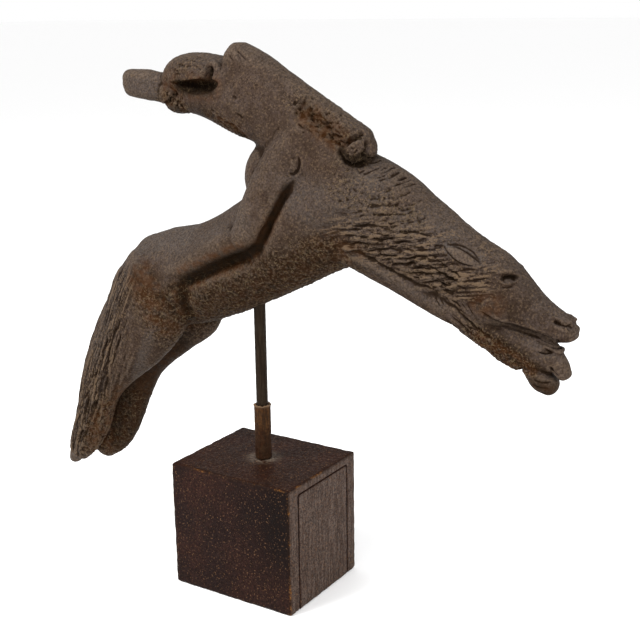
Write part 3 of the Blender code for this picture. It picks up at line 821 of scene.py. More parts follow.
# %% Cuts between the locks, and the folds of the bar below
MANE_CUTS = (
    (((128, 313.5), (134, 316.5), (142, 317.5)), 0.8, -1.8),
    (((141, 314), (149, 316.5), (158, 316)), 0.85, -1.9),
    (((124, 334), (136, 334.6), (150, 336)), 0.6, -1.3),
    (((104, 309), (112, 311), (121, 311.5)), 0.8, -1.6),
    (((112, 324), (122, 326), (133, 326)), 0.7, -1.5),
    (((118, 305), (130, 309), (143, 310.5)), 0.7, -1.5),
    (((146, 322), (157, 323), (168, 321)), 0.7, -1.4),
    (((168, 300), (176, 297), (184, 293), (192, 291)), 1.0, -2.2),
    (((150, 303), (160, 306), (171, 307)), 0.7, -1.5),
    (((138, 297), (148, 300), (160, 301)), 0.7, -1.5),
    (((152, 292), (162, 294), (172, 294)), 0.8, -1.7),
    (((164, 287), (174, 288.6), (184, 287)), 0.8, -1.7),
    (((172, 308), (180, 302), (188, 298)), 0.7, -1.2),
    (((182, 300), (187, 297), (193, 294)), 0.8, -1.3),
)
BAR_STROKES = (
    (((98, 303), (101, 306), (106, 306)), 2.4, 1.4),
    (((103, 307.5), (118, 301.5), (134, 294.5), (150, 288), (166, 282.5)), 1.5, -1.9),
    (((102, 301), (120, 294.5), (140, 286), (162, 276.5)), 3.6, 1.5),
    (((174, 281), (182, 279), (188, 274)), 3.0, 1.6),
    (((186, 272), (194, 264), (204, 256), (216, 250)), 1.2, -1.6),
    (((182, 266), (190, 259), (200, 251), (210, 246)), 1.0, -1.3),
    (((178, 261), (187, 254), (197, 247)), 1.0, -1.1),
    (((190, 268), (200, 260), (210, 253)), 0.8, -1.0),
    (((174, 256), (184, 249), (194, 243)), 0.8, -1.0),
)
HAIR = (scattered(((106, 318), (124, 318), (142, 314)), 15, 110, 9, 9, 0.7, -0.8, 41)
        + scattered(((134, 308), (152, 304), (168, 299)), 13, 100, 9, 3, 0.7, -0.8, 42)
        + scattered(((160, 296), (172, 291), (182, 288)), 9, 50, 8, -14, 0.7, -0.9, 43)
        + scattered(((108, 334), (128, 334), (150, 330)), 12, 46, 9, 12, 0.7, -0.6, 44)
        + scattered(((170, 282), (184, 274), (198, 262)), 8, 26, 9, -42, 0.7, -0.7, 45))
TAIL_HAIR = (scattered(((-138, 214), (-156, 172), (-172, 136), (-190, 100)), 16, 130, 22, 243, 0.75, -0.8, 46)
             + scattered(((-124, 232), (-132, 206), (-146, 178)), 12, 40, 14, 238, 0.75, -0.8, 47))
deepest = work(bronze, MANE_CUTS + BAR_STROKES + HAIR + TAIL_HAIR,
               far_too=MANE_CUTS[::2] + BAR_STROKES + HAIR[::2])
print("the cuts in the mane reach", round(deepest, 1), "steps deep")

# %% [markdown]
# ## Grain, pits and comb marks
#
# A casting keeps everything that the clay had: comb marks that follow the hair, pits on the back
# of the arm, and a fine grain all over. Python paints where each belongs, as numbers stored on the
# points, and a node tree turns them into relief with its own noise. The finish reads the same
# numbers later, so the dark of a comb mark lies where its groove is. Zones for the finish alone are
# painted here too: deep for painted shade in the folds, grooves and cavities, grey for a painted
# sheen with a grey tone on the upper parts, and brown for painted shade with a brown tone on the
# undersides and the far side.

# %% Where each kind of relief lies
def along_path(points, path):
    """Length along a path seen from the side, and the distance to its right, for every point."""
    line = smooth_path(path)
    flat = points[:, [0, 2]]
    best, run, aside = np.full(len(points), 1e9), np.zeros(len(points)), np.zeros(len(points))
    done = 0.0
    for index in range(len(line) - 1):
        leg = line[index + 1] - line[index]
        size = np.linalg.norm(leg)
        offset = flat - line[index]
        t = np.clip(offset @ leg / size ** 2, 0, 1)
        away = np.linalg.norm(offset - t[:, None] * leg, axis=1)
        closer = away < best
        best = np.where(closer, away, best)
        run = np.where(closer, done + (offset @ leg) / size, run)
        aside = np.where(closer, (offset[:, 0] * leg[1] - offset[:, 1] * leg[0]) / size, aside)
        done += size
    return run, aside


points, normals = read_points(bronze)
TAIL_MIDDLE = ((-128, 250), (-146, 210), (-164, 168), (-181, 125), (-203, 82))
mane_zone = to_path(points, ((104, 318), (140, 318), (175, 304), (196, 294)), 32)
mane_zone *= np.clip((336 - points[:, 2]) / 16, 0.45, 1)
tail_zone = to_path(points, TAIL_MIDDLE, 36) * np.clip((points[:, 2] - 66) / 14, 0.1, 1)
flow = np.zeros_like(points)
level = 0.18
flow[:, 0] = (points[:, 0] + level * points[:, 2]) / 14
flow[:, 1] = points[:, 1] / 8
flow[:, 2] = (points[:, 2] - level * points[:, 0]) / 2.0
on_tail = tail_zone > mane_zone
run, aside = along_path(points, TAIL_MIDDLE)
tail_zone *= ~((aside < -6) & (points[:, 1] > -8))
flow[on_tail] = np.stack([run / 30 + 40, points[:, 1] / 3.0, aside / 1.7], axis=1)[on_tail]
combed = np.maximum(mane_zone, tail_zone)
rough_zone = zone(points, (
    (((202, 250), (220, 240), (236, 231)), 15, 1.0),
    (((-60, 238), (-20, 250), (30, 268), (80, 292)), 34, 0.8),
    (((56, 412), (80, 400), (98, 388)), 17, 0.4), (((-84, 408), (-72, 405), (-62, 402)), 12, 0.9),
    (((-68, 420), (-26, 420)), 9, 0.6), (((-74, 432), (-50, 438)), 16, 0.4),
    (((98, 370), (108, 374)), 12, 0.5),
    (((-92, 240), (-84, 225), (-80, 215)), 22, 0.7), (((-155, 130), (-168, 110), (-180, 85)), 26, 0.8),
    (((96, 352), (120, 344), (150, 330)), 18, 0.6), (((-26, 394), (-8, 387)), 14, 0.6)))
smooth_zone = zone(points, (
    (((-125, 420), (-95, 418)), 14, 1.0), (((-214, 66), (-219, 62)), 8, 1.0),
    (((60, 345), (88, 340)), 24, 0.7), (((10, 345), (16, 320)), 16, 0.7)))
ear_zone = to_path(points, ((182, 313.5), (192, 309.5), (201, 305.5)), 9) * (np.abs(points[:, 1]) > 10)
combed, rough_zone = combed * (1 - ear_zone), rough_zone * (1 - ear_zone)
smooth_zone = np.maximum(smooth_zone, ear_zone)
print("combed points:", int((combed > 0.2).sum()), "and rough points:", int((rough_zone > 0.2).sum()))

# %% Where the finish is black, grey or brown
# Deep is painted shade: near black in the grooves beside the rider's leg, the head's cavity, the eye, along
# the mouth and under the fist, and fainter on the belly and the far leg.
deep_shade_zone = zone(points, (
    (((26, 300), (10, 293.5), (-6, 286), (-28, 275.5), (-50, 265)), 8, 1.0, "near"),
    (((53, 350), (45, 334), (36, 316), (28, 303)), 4.2, 0.8, "near"),
    (((-54, 260), (-56, 248), (-56, 230)), 10, 0.85, "near"),
    (((-62, 419.5), (-45, 418.5), (-24, 419.5)), 8, 1.0, "near"), (((-80, 401), (-64, 396)), 8, 0.6, "near"),
    (((-34, 398), (-10, 386), (4, 377)), 9, 0.45, "near"),
    (((62, 407), (78, 396), (94, 385)), 10, 0.3, "near"),
    (((95, 378), (99, 372.5), (105, 370.5), (111, 373)), 6, 0.9, "near"),
    (((216, 262), (232, 258), (248, 254), (262, 251)), 3, 0.6, "near"),
    (((221.6, 295), (225, 295.8), (229, 295.2)), 2.2, 1.0, "near"),
    (((240, 216), (256, 213)), 11, 0.6, "near"),
    (((-60, 236), (-20, 250), (30, 266), (78, 290)), 26, 0.3, "near"),
    (((-100, 200), (-135, 150), (-165, 95)), 34, 0.55, "far")))
# Grey is a painted sheen with a grey tone: the back, the withers, the neck, the shoulder bar and the front
# edge of the near leg are painted paler, as if catching the light.
grey_sheen_zone = np.maximum(smooth_zone, zone(points, (
    (((-160, 190), (-132, 250), (-104, 288), (-60, 300)), 20, 0.8),
    (((78, 336), (100, 330), (118, 350)), 26, 0.7), (((150, 330), (180, 318)), 16, 0.6),
    (((102, 301), (122, 293), (150, 281), (176, 272)), 8, 0.7),
    (((-88, 218), (-112, 178), (-140, 132), (-158, 106)), 7, 0.9, "near"))))
# Brown is painted shade with a dark brown tone: the belly, the jaw's underside, the chin, the undersides of
# the arm and the fist, and the far legs are painted darker.
brown_shade_zone = zone(points, (
    (((200, 252), (222, 240), (240, 230)), 17, 1.0), (((244, 216), (256, 213)), 15, 1.0),
    (((-62, 236), (-20, 252), (30, 270), (78, 292), (94, 300)), 41, 1.0),
    (((-100, 262), (-82, 244), (-72, 226)), 27, 0.9), (((-84, 408), (-66, 402)), 13, 0.85),
    (((-34, 396), (-8, 386), (6, 376)), 12, 0.6), (((62, 406), (78, 396), (94, 386)), 13, 0.6),
    (((98, 374), (106, 371)), 9, 0.7), (((146, 300), (168, 294), (188, 288)), 15, 0.6),
    (TAIL_MIDDLE, 40, 0.55), (((206, 282), (224, 276), (240, 268)), 18, 0.5),
    (((98, 302), (112, 304)), 16, 0.4), (((-110, 190), (-140, 140), (-168, 92)), 34, 0.8, "far"),
    (((-150, 150), (-166, 124), (-180, 92)), 16, 0.6),
    (((20, 306), (-10, 295), (-42, 282)), 10, 0.5)))


# %% Store them on the mesh
def store(obj, name, values):
    """Keep a number or a vector for every point under a name."""
    vector = values.ndim == 2
    held = obj.data.attributes.new(name, "FLOAT_VECTOR" if vector else "FLOAT", "POINT")
    flat = np.ascontiguousarray(values, dtype=np.float32).ravel()
    held.data.foreach_set("vector" if vector else "value", flat)


for name, values in (("flow", flow), ("combed", combed), ("rough", rough_zone), ("smooth", smooth_zone),
                     ("deep", deep_shade_zone), ("grey", grey_sheen_zone), ("brown", brown_shade_zone)):
    store(bronze, name, values)

# %% The tree that works the surface
surface_tree, given, result = socket_tree(
    "Worked surface", "GeometryNodeTree",
    (("Geometry", "Geometry"), ("Comb Depth", "Float", 1.2), ("Rough Depth", "Float", 1.4),
     ("Rough Size", "Float", 3.4), ("Grain Depth", "Float", 0.35), ("Grain Size", "Float", 2.2),
     ("Dent Depth", "Float", 0.7), ("Dent Size", "Float", 16.0), ("Material", "Material")),
    (("Geometry", "Geometry"),))
t = surface_tree
give = given.outputs


def named(tree, name, sort="FLOAT"):
    """The socket of an attribute that was stored on the points."""
    made = node(tree, "GeometryNodeInputNamedAttribute", inputs={"Name": name}, data_type=sort)
    return made.outputs["Attribute"]


def bumps(tree, place_socket, size, detail, roughness=0.55):
    """Noise about zero with bumps of a size."""
    per_step = maths(tree, "DIVIDE", 1.0, size) if isinstance(size, bpy.types.NodeSocket) else 1 / size
    made = node(tree, "ShaderNodeTexNoise", inputs={"Vector": place_socket, "Detail": detail,
                                                    "Roughness": roughness, "Scale": per_step})
    return maths(tree, "SUBTRACT", made.outputs[0], 0.5)


where = node(t, "GeometryNodeInputPosition").outputs[0]
comb = bumps(t, named(t, "flow", "FLOAT_VECTOR"), 1.3, 2.0)
comb_depth = times(t, times(t, comb, give["Comb Depth"]), named(t, "combed"))
cells = node(t, "ShaderNodeTexVoronoi", inputs={"Vector": where, "Scale": 0.3}, feature="F1")
t.links.new(maths(t, "DIVIDE", 1.0, give["Rough Size"]), cells.inputs["Scale"])
crumbs = maths(t, "SUBTRACT", 0.45, cells.outputs["Distance"])
crumbs = plus(t, crumbs, bumps(t, where, give["Rough Size"], 3.0))
rough_depth = times(t, times(t, crumbs, give["Rough Depth"]), named(t, "rough"))
calm = maths(t, "SUBTRACT", 1.0, times(t, named(t, "smooth"), 0.75))
grain = times(t, bumps(t, where, give["Grain Size"], 3.0, 0.65), give["Grain Depth"])
dents = times(t, bumps(t, where, give["Dent Size"], 2.0), give["Dent Depth"])
grain, dents = times(t, grain, calm), times(t, dents, calm)
relief = plus(t, plus(t, comb_depth, rough_depth), plus(t, grain, dents))
direction = node(t, "GeometryNodeInputNormal").outputs[0]
push = node(t, "ShaderNodeVectorMath", "SCALE", {0: direction, "Scale": relief}).outputs[0]
pushed = node(t, "GeometryNodeSetPosition", inputs={"Geometry": give["Geometry"], "Offset": push})
end_tree(t, pushed.outputs[0], give["Material"], result)
use_tree(bronze, surface_tree, Comb_Depth=2.6, Rough_Depth=1.6, Rough_Size=2.7, Grain_Depth=0.5,
         Grain_Size=2.6, Dent_Depth=1.6, Dent_Size=17.0, Material=plain)
print("the surface tree has", len(t.nodes), "nodes")

# %% [markdown]
# ## Where dirt and rust gather
#
# Wax and handling keep the crests of a bronze pale, while its hollows stay dark and rusty. How
# hollow a point is follows from the mesh itself: smooth a copy, and see on which side of it the
# point lies. A few rounds of smoothing find the fine marks, many rounds find the deep folds.

# %% Measure the hollows
def hollowness(obj, rounds):
    """How deep each point lies under the smoothed skin, for each count of rounds."""
    points, normals = read_points(obj)
    edges, degree = links_of(obj)
    smooth, found, done = points.copy(), [], 0
    for goal in rounds:
        while done < goal:
            smooth = neighbours_mean(smooth, edges, degree)
            done += 1
        found.append(((smooth - points) * normals).sum(axis=1))
    return found


ROUNDS = (5, 30, 130)
FULL_DEPTHS = (0.25, 0.9, 4)
SHARES = (0.45, 0.4, 0.15)
hollow = sum(np.clip(found / full, -1, 1) * share
             for found, full, share in zip(hollowness(bronze, ROUNDS), FULL_DEPTHS, SHARES))
points = read_points(bronze)[0]
rust = zone(points, (
    (((50, 345), (38, 318), (28, 300)), 8, 0.6, "near"),
    (((26, 298), (-10, 280), (-50, 262)), 10, 1.0, "near"),
    (((-56, 256), (-56, 232)), 13, 1.0), (((-30, 392), (-8, 388), (2, 380)), 12, 0.9),
    (((-132, 150), (-160, 122), (-180, 84)), 15, 0.9), (((-72, 420), (-24, 420)), 15, 0.8, "near"),
    (((206, 276), (218, 276)), 12, 0.6), (((205, 246), (238, 228)), 12, 0.9),
    (((-84, 406), (-64, 402)), 12, 0.7, "near"), (((-96, 262), (-84, 244), (-78, 226)), 22, 0.7),
    (((244, 216), (256, 213)), 9, 0.6), (((98, 300), (108, 304)), 12, 0.5),
    (((-50, 240), (0, 258), (60, 285), (90, 305)), 22, 0.5), (((66, 402), (92, 386)), 13, 0.9),
    (((-110, 190), (-140, 140), (-166, 96)), 26, 0.8, "far"),
    (((18, 303), (-6, 294), (-32, 283), (-52, 274)), 5, 0.9, "near"),
    (((-50, 258), (-48, 252)), 5, 1.0, "near"), (((-64, 238), (-60, 232)), 6, 1.0, "near")))
store(bronze, "hollow", hollow * 0.5 + 0.5)
store(bronze, "rust", rust)
print("hollow from", round(float(hollow.min()), 2), "to", round(float(hollow.max()), 2))

# %% Thin the mesh to what it needs
MOST_TRIANGLES = 190000
bronze.data.calc_loop_triangles()
fine_count = len(bronze.data.loop_triangles)
kept_fine = zone(read_points(bronze)[0], (
    (((200, 290), (226, 292), (246, 262), (262, 252), (258, 228)), 22, 1.0),
    (((96, 384), (112, 378)), 16, 1.0)))
weights = bronze.vertex_groups.new(name="thin")
LEVELS = 5
for level_of_detail in range(LEVELS):
    chosen = np.flatnonzero((kept_fine * LEVELS).astype(int).clip(0, LEVELS - 1) == level_of_detail)
    weights.add(chosen.tolist(), 1.0 - 0.2 * level_of_detail, "REPLACE")
thin = bronze.modifiers.new("Thin", "DECIMATE")
thin.vertex_group = "thin"
thin.vertex_group_factor = 1.0
thin.ratio = min(1.0, MOST_TRIANGLES / fine_count)
worked_in(bronze)
bronze.vertex_groups.clear()
bronze.data.calc_loop_triangles()
print("bronze:", fine_count, "triangles thinned to", len(bronze.data.loop_triangles))

# %% [markdown]
# ## Shared finishes
#
# Several pieces share an effect: fine mottling on bronze, steel and wood alike, and a drawn-out
# grain on wood and steel. Each effect is a group of shader nodes, made once and placed in each material
# with its own values. A group gives out only numbers and colours.

# %% Mottle: patches between two sizes
mottle_tree, given, result = socket_tree(
    "Mottle", "ShaderNodeTree",
    (("Place", "Vector"), ("Size", "Float", 0.01), ("Low", "Float", 0.35), ("High", "Float", 0.65),
     ("Detail", "Float", 4.0)), (("Mask", "Float"),))
t, give = mottle_tree, given.outputs
per = maths(t, "DIVIDE", 1.0, give["Size"])
patches = node(t, "ShaderNodeTexNoise", inputs={"Vector": give["Place"], "Scale": per,
                                                "Detail": give["Detail"], "Roughness": 0.62})
span = node(t, "ShaderNodeMapRange", interpolation_type="SMOOTHSTEP",
            inputs={"Value": patches.outputs[0], "From Min": give["Low"], "From Max": give["High"]})
t.links.new(span.outputs[0], result.inputs[0])


def group(tree, made, **inputs):
    """Place a node group with its own values."""
    placed = tree.nodes.new("ShaderNodeGroup")
    placed.node_tree = made
    for key, value in inputs.items():
        key = key.replace("_", " ")
        if isinstance(value, bpy.types.NodeSocket):
            tree.links.new(value, placed.inputs[key])
        else:
            placed.inputs[key].default_value = value
    return placed


def blend(tree, factor, first, second, how="MIX"):
    """Mix two colours by a factor; each is a colour of three numbers or a socket."""
    mixed = node(tree, "ShaderNodeMix", data_type="RGBA", blend_type=how, clamp_factor=True)
    for number, value in ((0, factor), (6, first), (7, second)):
        if isinstance(value, bpy.types.NodeSocket):
            tree.links.new(value, mixed.inputs[number])
        else:
            mixed.inputs[number].default_value = value if number == 0 else (*value, 1.0)
    return mixed.outputs[2]


def coat(tree, under, mask, amount, colour):
    """Lay a colour over another where a mask is, up to an amount."""
    return blend(tree, times(tree, mask, amount), under, colour)


def mottled(tree, place_socket, size, low, high, detail=4.0):
    """The mottle group's mask for patches of a size."""
    made = group(tree, mottle_tree, Place=place_socket, Size=size, Low=low, High=high, Detail=detail)
    return made.outputs[0]


def start_material(name):
    """A new material's tree, its shader and the place of each point on the object."""
    made = bpy.data.materials.new(name)
    made.use_nodes = True
    tree = made.node_tree
    return made, tree, tree.nodes["Principled BSDF"], node(tree, "ShaderNodeTexCoord").outputs["Object"]


def bump(tree, shader, height, distance, strength=1.0):
    """Fine relief of the shader from a height."""
    made = node(tree, "ShaderNodeBump", inputs={"Height": height, "Distance": distance, "Strength": strength})
    tree.links.new(made.outputs[0], shader.inputs["Normal"])


# %% [markdown]
# ## Dark patina on bronze
#
# The casting is almost black-brown, paler on the crests that hands reach, and rusty in its folds.
# Light and shade are painted into its colour as well: faces that point up are painted paler and
# greyer as if lit from above, a painted grey sheen lies on the back, the neck and the leg's front
# edge, and painted shade darkens the undersides, the grooves and the far side. The finish reads the
# numbers stored on the points, first the broad browns and greys with the painted light and shade,
# then flecks and pits, then the dark of the hollows and the rust. Mottling breaks most of their
# edges, so few patches look painted.

# %% The bronze finish
def attribute(tree, name, output="Fac"):
    """A number or a vector that was stored on the points."""
    return node(tree, "ShaderNodeAttribute", attribute_name=name).outputs[output]


def ramp(tree, value, low, high, least=0.0, most=1.0):
    """A value stretched smoothly from one span to another."""
    spans = {"Value": value, "From Min": low, "From Max": high, "To Min": least, "To Max": most}
    return node(tree, "ShaderNodeMapRange", inputs=spans, interpolation_type="SMOOTHSTEP").outputs[0]


patina, t, shader, place_here = start_material("Dark patina")
hollow_here, rust_here = attribute(t, "hollow"), attribute(t, "rust")
rough_here, combed_here = attribute(t, "rough"), attribute(t, "combed")
upward_here = attribute(t, "upward")
broad = mottled(t, place_here, 0.045, 0.34, 0.66)
middling = mottled(t, place_here, 0.011, 0.36, 0.64)
small = mottled(t, place_here, 0.0032, 0.36, 0.64)
speck = mottled(t, place_here, 0.0017, 0.53, 0.64, 2.0)
pit = mottled(t, place_here, 0.0025, 0.55, 0.65, 3.0)
body = blend(t, broad, (0.0375, 0.0240, 0.0178), (0.0475, 0.0345, 0.0290))
body = coat(t, body, middling, 0.7, (0.0220, 0.0125, 0.0078))
body = coat(t, body, small, 0.4, (0.0520, 0.0340, 0.0230))
# Painted light: faces that point up are painted paler and greyer, as if lit from above.
painted_top_light = ramp(t, upward_here, 0.05, 0.9)
body = coat(t, body, painted_top_light, 0.5, (0.0520, 0.0420, 0.0360))
# Painted shade: faces that point down are painted darker and redder, as if in shadow.
painted_under_shade = ramp(t, upward_here, -0.05, -0.85)
body = coat(t, body, painted_under_shade, 0.8, (0.0149, 0.0072, 0.0036))
# Painted shade: dark brown where the brown zone lies.
brown_shade_here = times(t, attribute(t, "brown"), ramp(t, middling, 0.0, 1.0, 0.6, 1.0))
body = coat(t, body, brown_shade_here, 0.92, (0.0120, 0.0062, 0.0026))
# Painted sheen: a paler grey where the grey zone lies.
grey_sheen_here = times(t, attribute(t, "grey"), ramp(t, middling, 0.0, 1.0, 0.5, 0.9))
body = coat(t, body, grey_sheen_here, 0.6, (0.0640, 0.0550, 0.0500))
pale = ramp(t, hollow_here, 0.46, 0.2)
busy_share = maths(t, "MAXIMUM", rough_here, combed_here)
crest_share = plus(t, 0.5, times(t, busy_share, 0.2))
body = coat(t, body, pale, crest_share, (0.0900, 0.0640, 0.0460))
busy = maths(t, "MAXIMUM", rough_here, times(t, combed_here, 0.8))
crumb = mottled(t, place_here, 0.0016, 0.44, 0.60, 2.0)
body = coat(t, body, crumb, 0.45, (0.0074, 0.0043, 0.0026))
fleck_share = plus(t, 0.28, times(t, busy, 0.32))
body = coat(t, body, speck, fleck_share, (0.1250, 0.0830, 0.0480))
pit_share = plus(t, 0.3, times(t, busy, 0.5))
body = coat(t, body, pit, pit_share, (0.0062, 0.0031, 0.0019))

# %% Combs, hollows and rust over it
flow_here = attribute(t, "flow", "Vector")
comb_noise = node(t, "ShaderNodeTexNoise", inputs={"Vector": flow_here, "Scale": 0.85, "Detail": 2.5,
                                                   "Roughness": 0.6, "Distortion": 0.3}).outputs[0]
comb_light = times(t, ramp(t, comb_noise, 0.54, 0.61), combed_here)
comb_dark = times(t, ramp(t, comb_noise, 0.45, 0.38), combed_here)
body = coat(t, body, comb_light, 0.7, (0.1100, 0.0740, 0.0460))
body = coat(t, body, comb_dark, 0.85, (0.0062, 0.0031, 0.0019))
dark = ramp(t, hollow_here, 0.53, 0.74)
body = coat(t, body, dark, 0.85, (0.0082, 0.0040, 0.0016))
rust_mottle = mottled(t, place_here, 0.007, 0.32, 0.62)
rusty = times(t, rust_here, rust_mottle)
body = coat(t, body, rusty, 0.6, (0.0480, 0.0165, 0.0036))
# Painted shade: near black where the deep zone lies.
deep_shade_here = times(t, attribute(t, "deep"), ramp(t, small, 0.0, 0.6, 1.0, 0.9))
body = coat(t, body, deep_shade_here, 0.93, (0.0050, 0.0028, 0.0012))
contour = node(t, "ShaderNodeTexNoise", inputs={"Vector": place_here, "Scale": 170.0, "Detail": 2.5,
                                                "Roughness": 0.6})
contour_off = maths(t, "ABSOLUTE", maths(t, "SUBTRACT", contour.outputs[0], 0.5))
squiggle = times(t, ramp(t, contour_off, 0.026, 0.008), rough_here)
squiggle = times(t, squiggle, ramp(t, small, 0.2, 0.8, 0.2, 1.0))
body = coat(t, body, squiggle, 0.7, (0.1300, 0.0920, 0.0520))
t.links.new(body, shader.inputs["Base Color"])
t.links.new(ramp(t, small, 0.0, 1.0, 0.55, 0.75), shader.inputs["Roughness"])
t.links.new(ramp(t, pale, 0.0, 1.0, 0.05, 0.3), shader.inputs["Metallic"])
shader.inputs["Specular IOR Level"].default_value = 0.02
fine_grain = node(t, "ShaderNodeTexNoise", inputs={"Vector": place_here, "Scale": 820.0, "Detail": 4.0,
                                                   "Roughness": 0.65})
comb_height = times(t, comb_noise, times(t, combed_here, 2.4))
grain_height = times(t, fine_grain.outputs[0], plus(t, 0.7, times(t, busy, 0.9)))
bump(t, shader, plus(t, plus(t, comb_height, squiggle), grain_height), 0.0007, 0.95)
bronze.data.materials.clear()
bronze.data.materials.append(patina)

# %% Set the bronze to size
bronze.data.transform(Matrix.Scale(STEP, 4))
BRONZE_MARGIN = 0.00002
points, normals = read_points(bronze)
solid_corners = np.array([corner[:] for corner in bpy.data.objects["horse_and_rider"].bound_box])
solid_low, solid_high = solid_corners.min(axis=0), solid_corners.max(axis=0)
store(bronze, "upward", normals[:, 2])
write_points(bronze, np.clip(points, solid_low + BRONZE_MARGIN, solid_high - BRONZE_MARGIN))
bronze.data.shade_smooth()
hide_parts("horse_and_rider")
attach(bronze, "root")
for corner in (bronze.bound_box[0], bronze.bound_box[6]):
    print("bronze corner", tuple(round(value, 4) for value in corner))

# %% [markdown]
# ## The wooden block
#
# The block is dark stained hardwood with a panel let into each end. The grain is noise drawn out
# along one direction, and the colour is worn to bare orange wood on the edges. The front, the top and
# the ends take the light and the stain differently, so each has its own colours, chosen by which way
# the skin faced when it was measured.

# %% Wood grain as a group
grain_tree, given, result = socket_tree(
    "Drawn grain", "ShaderNodeTree",
    (("Place", "Vector"), ("Stretch", "Vector", (1.0, 1.0, 1.0)), ("Size", "Float", 0.002)),
    (("Streaks", "Float"), ("Pores", "Float")))
t, give = grain_tree, given.outputs
drawn = node(t, "ShaderNodeVectorMath", "MULTIPLY", {0: give["Place"], 1: give["Stretch"]}).outputs[0]
per = maths(t, "DIVIDE", 1.0, give["Size"])
streaks = node(t, "ShaderNodeTexNoise", inputs={"Vector": drawn, "Scale": per, "Detail": 4.0,
                                                "Roughness": 0.6})
pores = node(t, "ShaderNodeTexNoise", inputs={"Vector": drawn, "Scale": times(t, per, 3.5),
                                              "Detail": 2.0})
t.links.new(streaks.outputs[0], result.inputs[0])
t.links.new(pores.outputs[0], result.inputs[1])


wood, t, shader, place_here = start_material("Stained wood")
end_here = ramp(t, attribute(t, "endward"), 0.6, 0.9)
top_here = ramp(t, attribute(t, "upward"), 0.6, 0.9)
edge_here, dust_here = attribute(t, "edge"), attribute(t, "dust")
lines = group(t, grain_tree, Place=place_here, Stretch=(1.0, 1.0, 0.1), Size=0.0022)
streak = ramp(t, lines.outputs[0], 0.38, 0.64)
broad = mottled(t, place_here, 0.05, 0.36, 0.64)
small = mottled(t, place_here, 0.0028, 0.36, 0.64)
crumb = mottled(t, place_here, 0.0011, 0.40, 0.62, 2.0)
speck = mottled(t, place_here, 0.0016, 0.60, 0.70, 2.0)
shade_here = attribute(t, "shade")
front = blend(t, broad, (0.0120, 0.0058, 0.0050), (0.0250, 0.0096, 0.0066))
front = coat(t, front, shade_here, 0.95, (0.0034, 0.0022, 0.0020))
front = coat(t, front, small, 0.5, (0.0075, 0.0036, 0.0030))
lid = blend(t, broad, (0.0250, 0.0062, 0.0018), (0.0170, 0.0058, 0.0026))
lid = coat(t, lid, small, 0.45, (0.0100, 0.0050, 0.0035))
end = blend(t, streak, (0.050, 0.032, 0.024), (0.094, 0.067, 0.054))
end = coat(t, end, small, 0.35, (0.050, 0.026, 0.017))
stain = blend(t, end_here, blend(t, top_here, front, lid), end)
stain = coat(t, stain, crumb, 0.7, (0.0050, 0.0026, 0.0020))
stain = coat(t, stain, speck, 0.7, (0.120, 0.062, 0.030))
pores = ramp(t, lines.outputs[1], 0.36, 0.28)
stain = coat(t, stain, pores, 0.6, (0.008, 0.004, 0.003))
patchy = mottled(t, place_here, 0.011, 0.50, 0.60)
edge_reach = plus(t, edge_here, times(t, crumb, 0.3))
worn = times(t, ramp(t, edge_reach, 0.75, 1.1), patchy)
stain = coat(t, stain, worn, 0.7, (0.210, 0.085, 0.016))
grubby = times(t, ramp(t, edge_here, 0.1, 0.7), maths(t, "SUBTRACT", 1.0, patchy))
stain = coat(t, stain, grubby, 0.4, (0.012, 0.006, 0.004))
stain = coat(t, stain, times(t, dust_here, small), 0.8, (0.130, 0.100, 0.075))
t.links.new(stain, shader.inputs["Base Color"])
t.links.new(ramp(t, small, 0.0, 1.0, 0.42, 0.6), shader.inputs["Roughness"])
shader.inputs["Specular IOR Level"].default_value = 0.03
grit = plus(t, times(t, lines.outputs[1], 0.8), times(t, crumb, 0.35))
bump(t, shader, grit, 0.0004, 0.6)

# %% Worn copies of the stand's solids
STAND_MARGIN = 0.00001


def worn_copy(name, cell, count, depth, size, seed):
    """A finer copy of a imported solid, its skin worn inwards by an uneven amount, and its two corners."""
    solid = bpy.data.objects[name]
    whole = bmesh.new()
    whole.from_mesh(solid.data)
    whole.transform(solid.matrix_world)
    bmesh.ops.remove_doubles(whole, verts=whole.verts, dist=0.00001)
    mesh = bpy.data.meshes.new("worn_" + name)
    whole.to_mesh(mesh)
    whole.free()
    made = bpy.data.objects.new("worn_" + name, mesh)
    scene.collection.objects.link(made)
    low, high = np.array(made.bound_box[0]), np.array(made.bound_box[6])
    fused(made, cell, count)
    points, normals = read_points(made)
    uneven = np.array([noise.fractal(Vector(place) / size, 0.6, 2.0, 3, noise_basis="BLENDER")
                       for place in points + seed])
    points -= normals * (depth * np.clip(uneven * 0.8 + 0.35, 0, 1.2))[:, None]
    write_points(made, np.clip(points, low + STAND_MARGIN, high - STAND_MARGIN))
    return made, low, high


def finished_piece(made, name, finish):
    """Give a piece its finish and let it stand for its solid."""
    made.data.materials.clear()
    made.data.materials.append(finish)
    made.data.shade_smooth()
    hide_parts(name)
    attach(made, "root")


def near_edge(points, low, high, width):
    """1 on the outer edges of a box and 0 away from them."""
    inside = np.sort(np.minimum(points - low, high - points), axis=1)
    return np.clip(1 - np.clip(inside[:, 1], 0, None) / width, 0, 1)


